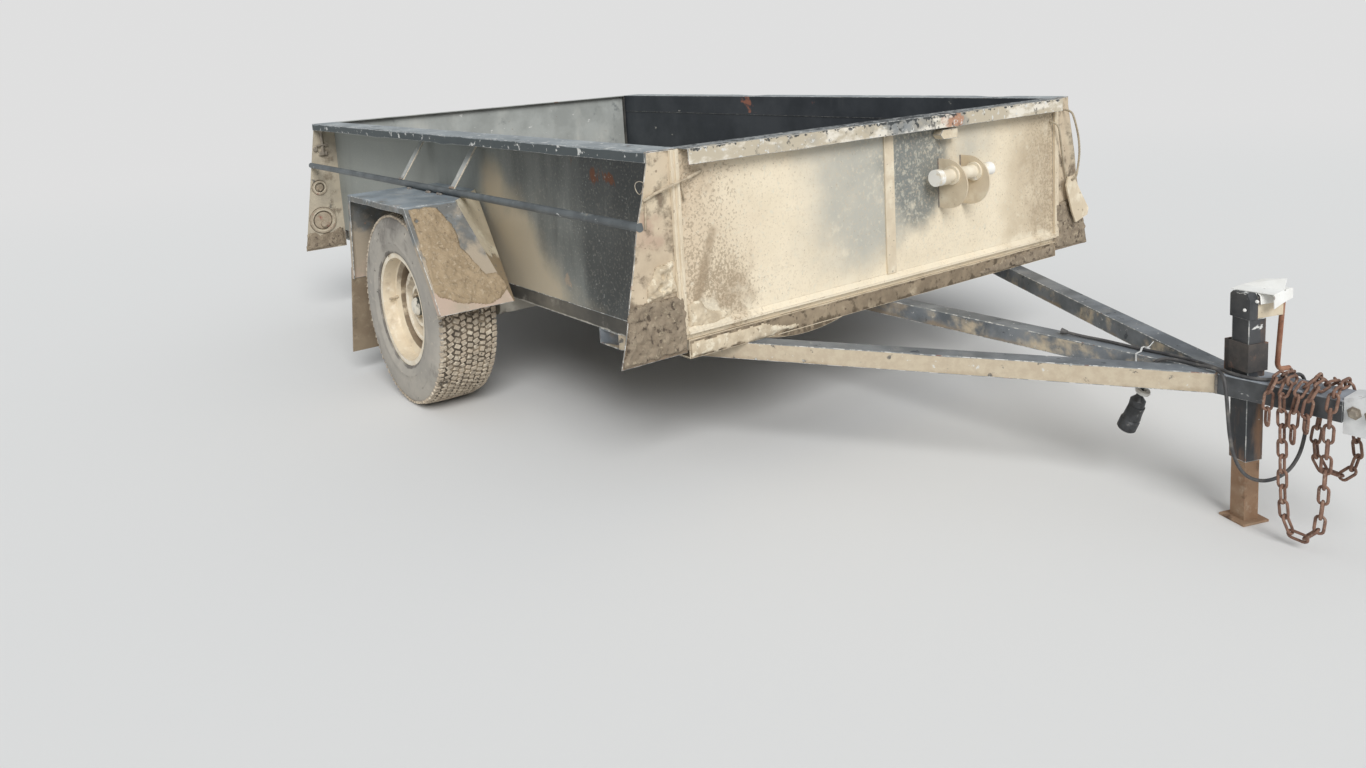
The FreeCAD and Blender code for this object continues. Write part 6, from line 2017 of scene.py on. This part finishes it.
@dataclass(frozen=True)
class JackHead:
    """The jack's head: a dark end block, a tan body and a bent white cover.

    Attributes:
        corner: Radius of its edges.
        block_end: Where the dark block ends, left of the middle plane.
        cover_foot: Height from which on the body is under the cover.
    """

    corner: float = 0.004
    block_end: float = -0.012
    cover_foot: float = 0.538

    def build(self, nodes: Nodes) -> Thing:
        """Make the head again with its cover.

        Args:
            nodes: The frame's nodes by name.

        Returns:
            The head.
        """
        shape = closed_copy(nodes["jack_head"])
        rounded(shape, self.corner, 3, 0.5)
        cut(shape, (0.0, self.block_end, 0.0), LEFT)
        cut(shape, (0.0, 0.0, self.cover_foot), UP)
        for face in shape.faces:
            face.smooth = True
            middle = face.calc_center_median()
            if middle.y > self.block_end:
                face.material_index = 1 if middle.z > self.cover_foot else 2
        head = placed("jack_head_used", shape, ("jack_paint", "jack_cover", "front_trim_dust"),
                      stands_for="jack_head")
        # Bent plates of the cover, by their corners.
        plates = (
            ((1.732, -0.012, 0.5676), (1.8285, -0.012, 0.5676), (1.8285, 0.04, 0.5676),
             (1.732, 0.046, 0.5676)),
            ((1.732, 0.046, 0.5676), (1.8285, 0.04, 0.5676), (1.824, 0.062, 0.592), (1.77, 0.066, 0.583)),
            ((1.738, 0.052, 0.568), (1.8285, 0.05, 0.568), (1.8285, 0.083, 0.566), (1.738, 0.083, 0.566)),
            ((1.828, -0.012, 0.569), (1.828, -0.009, 0.534), (1.828, 0.03, 0.54), (1.828, 0.083, 0.544),
             (1.828, 0.083, 0.567)),
        )
        rivet = [(-0.001, 0), (-0.001, 0.0042), (0.001, 0.0036), (0.002, 0)]
        rivets = [turned(rivet, place, (0, -1, 0), 12) for place in ((1.803, -0.0362, 0.553),
                                                                     (1.776, -0.0362, 0.528))]
        placed("jack_cover_sheet", joined(*(slab(plate) for plate in plates), *rivets), ("jack_cover",))
        return head


@dataclass(frozen=True)
class Trimmings:
    """Welds, bolts, wires and other small things on the trailer."""

    def welds(self) -> None:
        """Weld beads where the beams, straps, ears and rails meet."""
        # Weld rows. Columns: name, first bead, last bead, radius of a bead, slot.
        rows = (
            ("weld_tongue_top", (1.719, -0.044, 0.3645), (1.719, 0.044, 0.3645), 0.0042, "frame_paint"),
            ("weld_tongue_right", (1.719, -0.0455, 0.362), (1.719, -0.0455, 0.317), 0.004, "frame_paint"),
            ("weld_tongue_left", (1.719, 0.0455, 0.362), (1.719, 0.0455, 0.317), 0.004, "frame_paint"),
            ("weld_shank_top", (1.9915, -0.032, 0.3645), (1.9915, 0.032, 0.3645), 0.0035, "frame_paint"),
            ("weld_ear_right", (0.6812, 0.2095, 0.795), (0.6812, 0.2095, 0.637), 0.003, "front_paint"),
            ("weld_ear_left", (0.6812, 0.3215, 0.795), (0.6812, 0.3215, 0.637), 0.003, "front_paint"),
            ("weld_collar", (1.722, -0.03, 0.3645), (1.8, -0.03, 0.3645), 0.0032, "jack_steel"),
            ("weld_strap_a", (-0.995, -0.9755, 0.764), (-0.975, -0.9755, 0.764), 0.0055, "tub_paint"),
            ("weld_strap_b", (-0.52, -0.9755, 0.764), (-0.496, -0.9755, 0.764), 0.0055, "tub_paint"),
            ("weld_guard_a", (-0.875, -0.992, 0.7365), (-0.85, -0.992, 0.7365), 0.0062, "guard_paint"),
            ("weld_guard_b", (-0.7, -0.99, 0.7365), (-0.672, -0.99, 0.7365), 0.0062, "guard_paint"),
            ("weld_guard_c", (-0.6, -0.99, 0.7365), (-0.57, -0.99, 0.7365), 0.0062, "guard_paint"),
            ("weld_cap_corner", (0.677, -0.944, 0.9415), (0.677, -0.85, 0.9418), 0.0028, "tub_paint"),
            ("weld_cap_corner_left", (0.677, 0.85, 0.9418), (0.677, 0.944, 0.9415), 0.0028, "tub_paint"),
        )
        for index, (name, first, last, radius, slot) in enumerate(rows):
            run = Vector(last) - Vector(first)
            count = max(3, round(run.length / (radius * 0.95)) + 1)
            bead = bmesh.new()
            bmesh.ops.create_icosphere(bead, subdivisions=2, radius=radius)
            mesh = repeated(name, bead, row_tree(), "weld", Count=count, Step=tuple(run / (count - 1)),
                            Wear=0.28,
                            Turn=0.9, Seed=11 + index, Middle=first)
            placed(name, mesh, ("weld",), smooth=True)

    def bolts(self) -> None:
        """Rows of bolt heads."""
        # Bolt rows. Columns: name, first head, step, number, axis, size across, slot.
        rows = (
            ("flap_bolts_right", (-0.9915, -1.18, 0.428), (0, 0.072, 0), 4, (-1, 0, 0.15), 0.0085, "rubber"),
            ("flap_bolts_left", (-0.9915, 0.964, 0.428), (0, 0.072, 0), 4, (-1, 0, 0.15), 0.0085, "rubber"),
            ("coupler_bolts", (2.012, -0.038, 0.34), (0.034, 0, 0), 2, (0, -1, 0), 0.0105, "galvanised"),
            ("coupler_nuts", (2.012, 0.038, 0.34), (0.034, 0, 0), 2, (0, 1, 0), 0.0105, "galvanised"),
        )
        for name, first, step, count, axis, size, slot in rows:
            head = turned([(-0.003, 0), (-0.003, size * 1.45), (0.0015, size * 1.45), (0.002, size),
                           (size * 0.9, size),
                           (size * 1.05, size * 0.8), (size * 1.05, 0)], (0, 0, 0), axis, 6)
            mesh = repeated(name, head, row_tree(), "bare_iron", Count=count, Step=step, Wear=0, Turn=0,
                            Seed=3,
                            Middle=first)
            placed(name, mesh, ("bare_iron",))

    def wing_stick(self) -> None:
        """The dead twig behind the seam of the right front corner, and the wire on the wing's edge."""
        twig = joined(
            swept([(0.684, -0.962, 0.818), (0.688, -0.93, 0.832), (0.694, -0.9, 0.843),
                   (0.7015, -0.876, 0.852)],
                  0.0042),
            swept([(0.7015, -0.876, 0.852), (0.7035, -0.858, 0.857), (0.703, -0.832, 0.863)], 0.0036),
            swept([(0.703, -0.832, 0.863), (0.698, -0.806, 0.869), (0.693, -0.776, 0.877)], 0.005),
            swept([(0.692, -0.842, 0.862), (0.689, -0.838, 0.836), (0.686, -0.833, 0.8)], 0.0026),
            swept([(0.682, -0.955, 0.812), (0.683, -0.958, 0.77), (0.682, -0.96, 0.742)], 0.003))
        placed("wing_twig", twig, ("dead_wood",), smooth=True)
        loop = []
        for index in range(25):
            angle = 2 * math.pi * index / 24
            loop.append((0.679 + 0.004 * math.sin(2 * angle), -0.968 + 0.013 * math.cos(angle),
                         0.853 + 0.017 * math.sin(angle)))
        placed("wing_wire", swept(loop, 0.0013, 8), ("bare_iron",), smooth=True)

    def rear_latch(self) -> None:
        """The latch rod and the bolt head on each rear wing."""
        for side in Side:
            y = side.value * 0.912
            rod = joined(
                swept([(-2.139, y, 0.905), (-2.138, y, 0.86), (-2.139, y, 0.792)], 0.0065, 12),
                swept([(-2.138, y - 0.03, 0.838), (-2.136, y, 0.842), (-2.138, y + 0.024, 0.838)], 0.0055,
                      12),
                turned([(-0.012, 0), (-0.01, 0.009), (0, 0.0125), (0.01, 0.009), (0.012, 0)],
                       (-2.138, y, 0.91), (0, 0, 1), 16),
                block((0.012, 0.04, 0.02), (-2.1425, y, 0.8), 1, 0.002),
                turned([(-0.006, 0), (-0.006, 0.012), (0.004, 0.012), (0.006, 0.009), (0.006, 0)],
                       (-2.144, y + side.value * 0.034, 0.822), AHEAD, 6))
            placed(f"gate_latch_{side.word}", rod, ("bare_iron",))

    def beam_tie(self) -> None:
        """The white tie round the middle beam and the cable."""
        outline = ((-0.0312, 0.3128), (-0.0312, 0.3652), (-0.009, 0.366), (-0.003, 0.3748), (0.007, 0.375),
                   (0.014, 0.366), (0.0312, 0.3652), (0.0312, 0.3128))
        loops = [[Vector((1.509 + x, y + math.copysign(grow, y), z + math.copysign(grow, z - 0.34)))
                  for y, z in outline]
                 for x, grow in ((-0.0022, 0), (0.0022, 0), (0.0022, 0.0013), (-0.0022, 0.0013))]
        lock = block((0.006, 0.006, 0.005), (1.509, 0.0225, 0.369), 0.9, 0.0006)
        tail = swept([(1.509, 0.024, 0.369), (1.511, 0.032, 0.3735), (1.515, 0.041, 0.383)], 0.0014, 6)
        placed("beam_tie", joined(lofted(loops, closed=True), lock, tail), ("white_tie",))

    def gate_dirt(self) -> None:
        """Near-black strips along the tailgate's ends, painted shade in the gaps beside them, which they
        narrow.
        """
        for side in Side:
            near, far = side.value * 0.8325, side.value * 0.838
            strip = block((0.02, abs(far - near), 0.526), (-2.1395, (near + far) / 2, 0.68), 1, 0.0008)
            placed(f"gate_dirt_{side.word}", strip, ("gate_dirt",), "tailgate")

    def build(self) -> None:
        """Add all of them."""
        self.welds()
        self.bolts()
        self.wing_stick()
        self.rear_latch()
        self.beam_tie()
        self.gate_dirt()


@dataclass(frozen=True)
class Viewpoint:
    """The camera of the photograph.

    Attributes:
        place: Where the camera stands.
        yaw: Heading in degrees from +X.
        pitch: Degrees that it looks down.
        roll: Degrees that it leans.
        focal: Focal length in pixels.
        centre_row: Picture row of the lens axis.
        picture: Width and height of the picture in pixels.
        sensor: Width of the sensor in millimetres.
    """

    place: Point = (2.880, -2.432, 1.212)
    yaw: float = 143.98
    pitch: float = 8.97
    roll: float = 3.43
    focal: float = 1024.3
    centre_row: float = 207.4
    picture: tuple[float, float] = (1366.0, 768.0)
    sensor: float = 36.0

    def build(self) -> None:
        """Create the camera and make it the scene's own."""
        yaw, pitch, roll = (math.radians(angle) for angle in (self.yaw, self.pitch, self.roll))
        ahead = Vector((math.cos(pitch) * math.cos(yaw), math.cos(pitch) * math.sin(yaw), -math.sin(pitch)))
        right = Vector((math.sin(yaw), -math.cos(yaw), 0.0))
        down = ahead.cross(right)
        across = right * math.cos(roll) + down * math.sin(roll)
        below = down * math.cos(roll) - right * math.sin(roll)
        turn = Matrix((across, -below, -ahead)).transposed().to_4x4()
        data = bpy.data.cameras.new("viewpoint")
        wide, tall = self.picture
        data.sensor_width = self.sensor
        data.lens = self.focal / wide * self.sensor
        data.shift_y = -(tall / 2 - self.centre_row) / wide
        data.clip_end = 200.0
        camera = shown(bpy.data.objects.new("viewpoint", data))
        camera.matrix_world = Matrix.Translation(Vector(self.place)) @ turn
        bpy.context.scene.camera = camera


@dataclass(frozen=True)
class Studio:
    """Pale floor, a soft sun from ahead and above, and a pale world.

    Attributes:
        floor_half: Half the width of the floor.
        floor_colour: Colour of the floor.
        fade: Distances between which the floor fades into the background.
        backdrop: Brightness of the background, which is that of the lit floor.
        sky: Strength of the world's light.
        sky_colour: Colour of that light.
        sun: Strength of the soft sun.
        sun_from: Direction in which the sun stands.
        sun_width: Angle over which the sun is spread, in degrees.
    """

    floor_half: float = 60.0
    floor_colour: Colour = (0.80, 0.80, 0.79)
    fade: tuple[float, float] = (4.0, 11.0)
    backdrop: float = 0.74
    sky: float = 0.50
    sky_colour: Colour = (0.95, 0.975, 1.0)
    sun: float = 2.2
    sun_from: Point = (1.0, -0.45, 0.80)
    sun_width: float = 30.0

    def floor_finish(self) -> bpy.types.Material:
        """Make the look of a pale floor that fades into the background far away.

        Returns:
            The material.
        """
        graph = Graph("studio_floor")
        plain = graph.add("ShaderNodeBsdfDiffuse", {"Color": self.floor_colour})
        glow = graph.add("ShaderNodeEmission", {"Color": (self.backdrop,) * 3})
        share = graph.level(graph.vector("DISTANCE", graph.place, (0.0, 0.0, 0.0)), *self.fade)
        seen = graph.math("MULTIPLY", share, graph.add("ShaderNodeLightPath").outputs["Is Camera Ray"])
        return graph.close(graph.add("ShaderNodeMixShader",
                                     {0: seen, 1: plain.outputs[0], 2: glow.outputs[0]}))

    def world(self) -> None:
        """Make the world: a plain soft light, and the background that the camera sees."""
        world = bpy.data.worlds.new("studio_world")
        bpy.context.scene.world = world
        world.use_nodes = True
        wires = Wiring(world.node_tree)
        fill = wires.add("ShaderNodeBackground", {"Color": self.sky_colour, "Strength": self.sky})
        plain = wires.add("ShaderNodeBackground", {"Color": (self.backdrop,) * 3})
        seen = wires.add("ShaderNodeLightPath").outputs["Is Camera Ray"]
        blend = wires.add("ShaderNodeMixShader", {0: seen, 1: fill.outputs[0], 2: plain.outputs[0]})
        wires.add("ShaderNodeOutputWorld", {"Surface": blend.outputs[0]})

    def build(self) -> None:
        """Make the floor, the sun and the world."""
        half = self.floor_half
        mesh = bpy.data.meshes.new("studio_floor")
        corners = [(-half, -half, 0), (half, -half, 0), (half, half, 0), (-half, half, 0)]
        mesh.from_pydata(corners, [], [(0, 1, 2, 3)])
        mesh.materials.append(self.floor_finish())
        floor = shown(bpy.data.objects.new("studio_floor", mesh))
        floor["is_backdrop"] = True
        self.world()
        data = bpy.data.lights.new("soft_sun", "SUN")
        data.energy = self.sun
        data.angle = math.radians(self.sun_width)
        lamp = shown(bpy.data.objects.new("soft_sun", data))
        lamp.rotation_euler = Vector(self.sun_from).to_track_quat("Z", "Y").to_euler()


def write_sizes(last: object) -> None:
    """Make a helper that gives a box as lists of numbers; nothing is written.

    Args:
        last: The box before the end; not used.
    """
    def plain(box: object) -> list:
        """Give a box as lists of numbers."""
        return [[float(number) for number in corner] for corner in box]


def main() -> None:
    """Build the whole dressed trailer."""
    logging.basicConfig(level=logging.INFO, format="%(name)s: %(message)s")
    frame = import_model()
    nodes = frame["nodes"]
    bpy.context.scene.view_settings.view_transform = "Standard"
    Viewpoint().build()
    for cord in (LightingCable().build(nodes), WingRope().build()):
        LOG.info("laid %s", cord.name)
    dress_nodes(nodes)
    for worn in WORN_PIECES:
        LOG.info("wore down %s", worn.build(nodes).name)
    for crust in CRUSTS:
        LOG.info("caked %s", crust.build().name)
    for side in Side:
        LOG.info("made %s", RoadWheel(side).build(nodes).name)
    SafetyChains().build(nodes)
    JackHead().build(nodes)
    Trimmings().build()
    Studio().build()
    write_sizes(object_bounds())


if __name__ == "__main__":
    main()
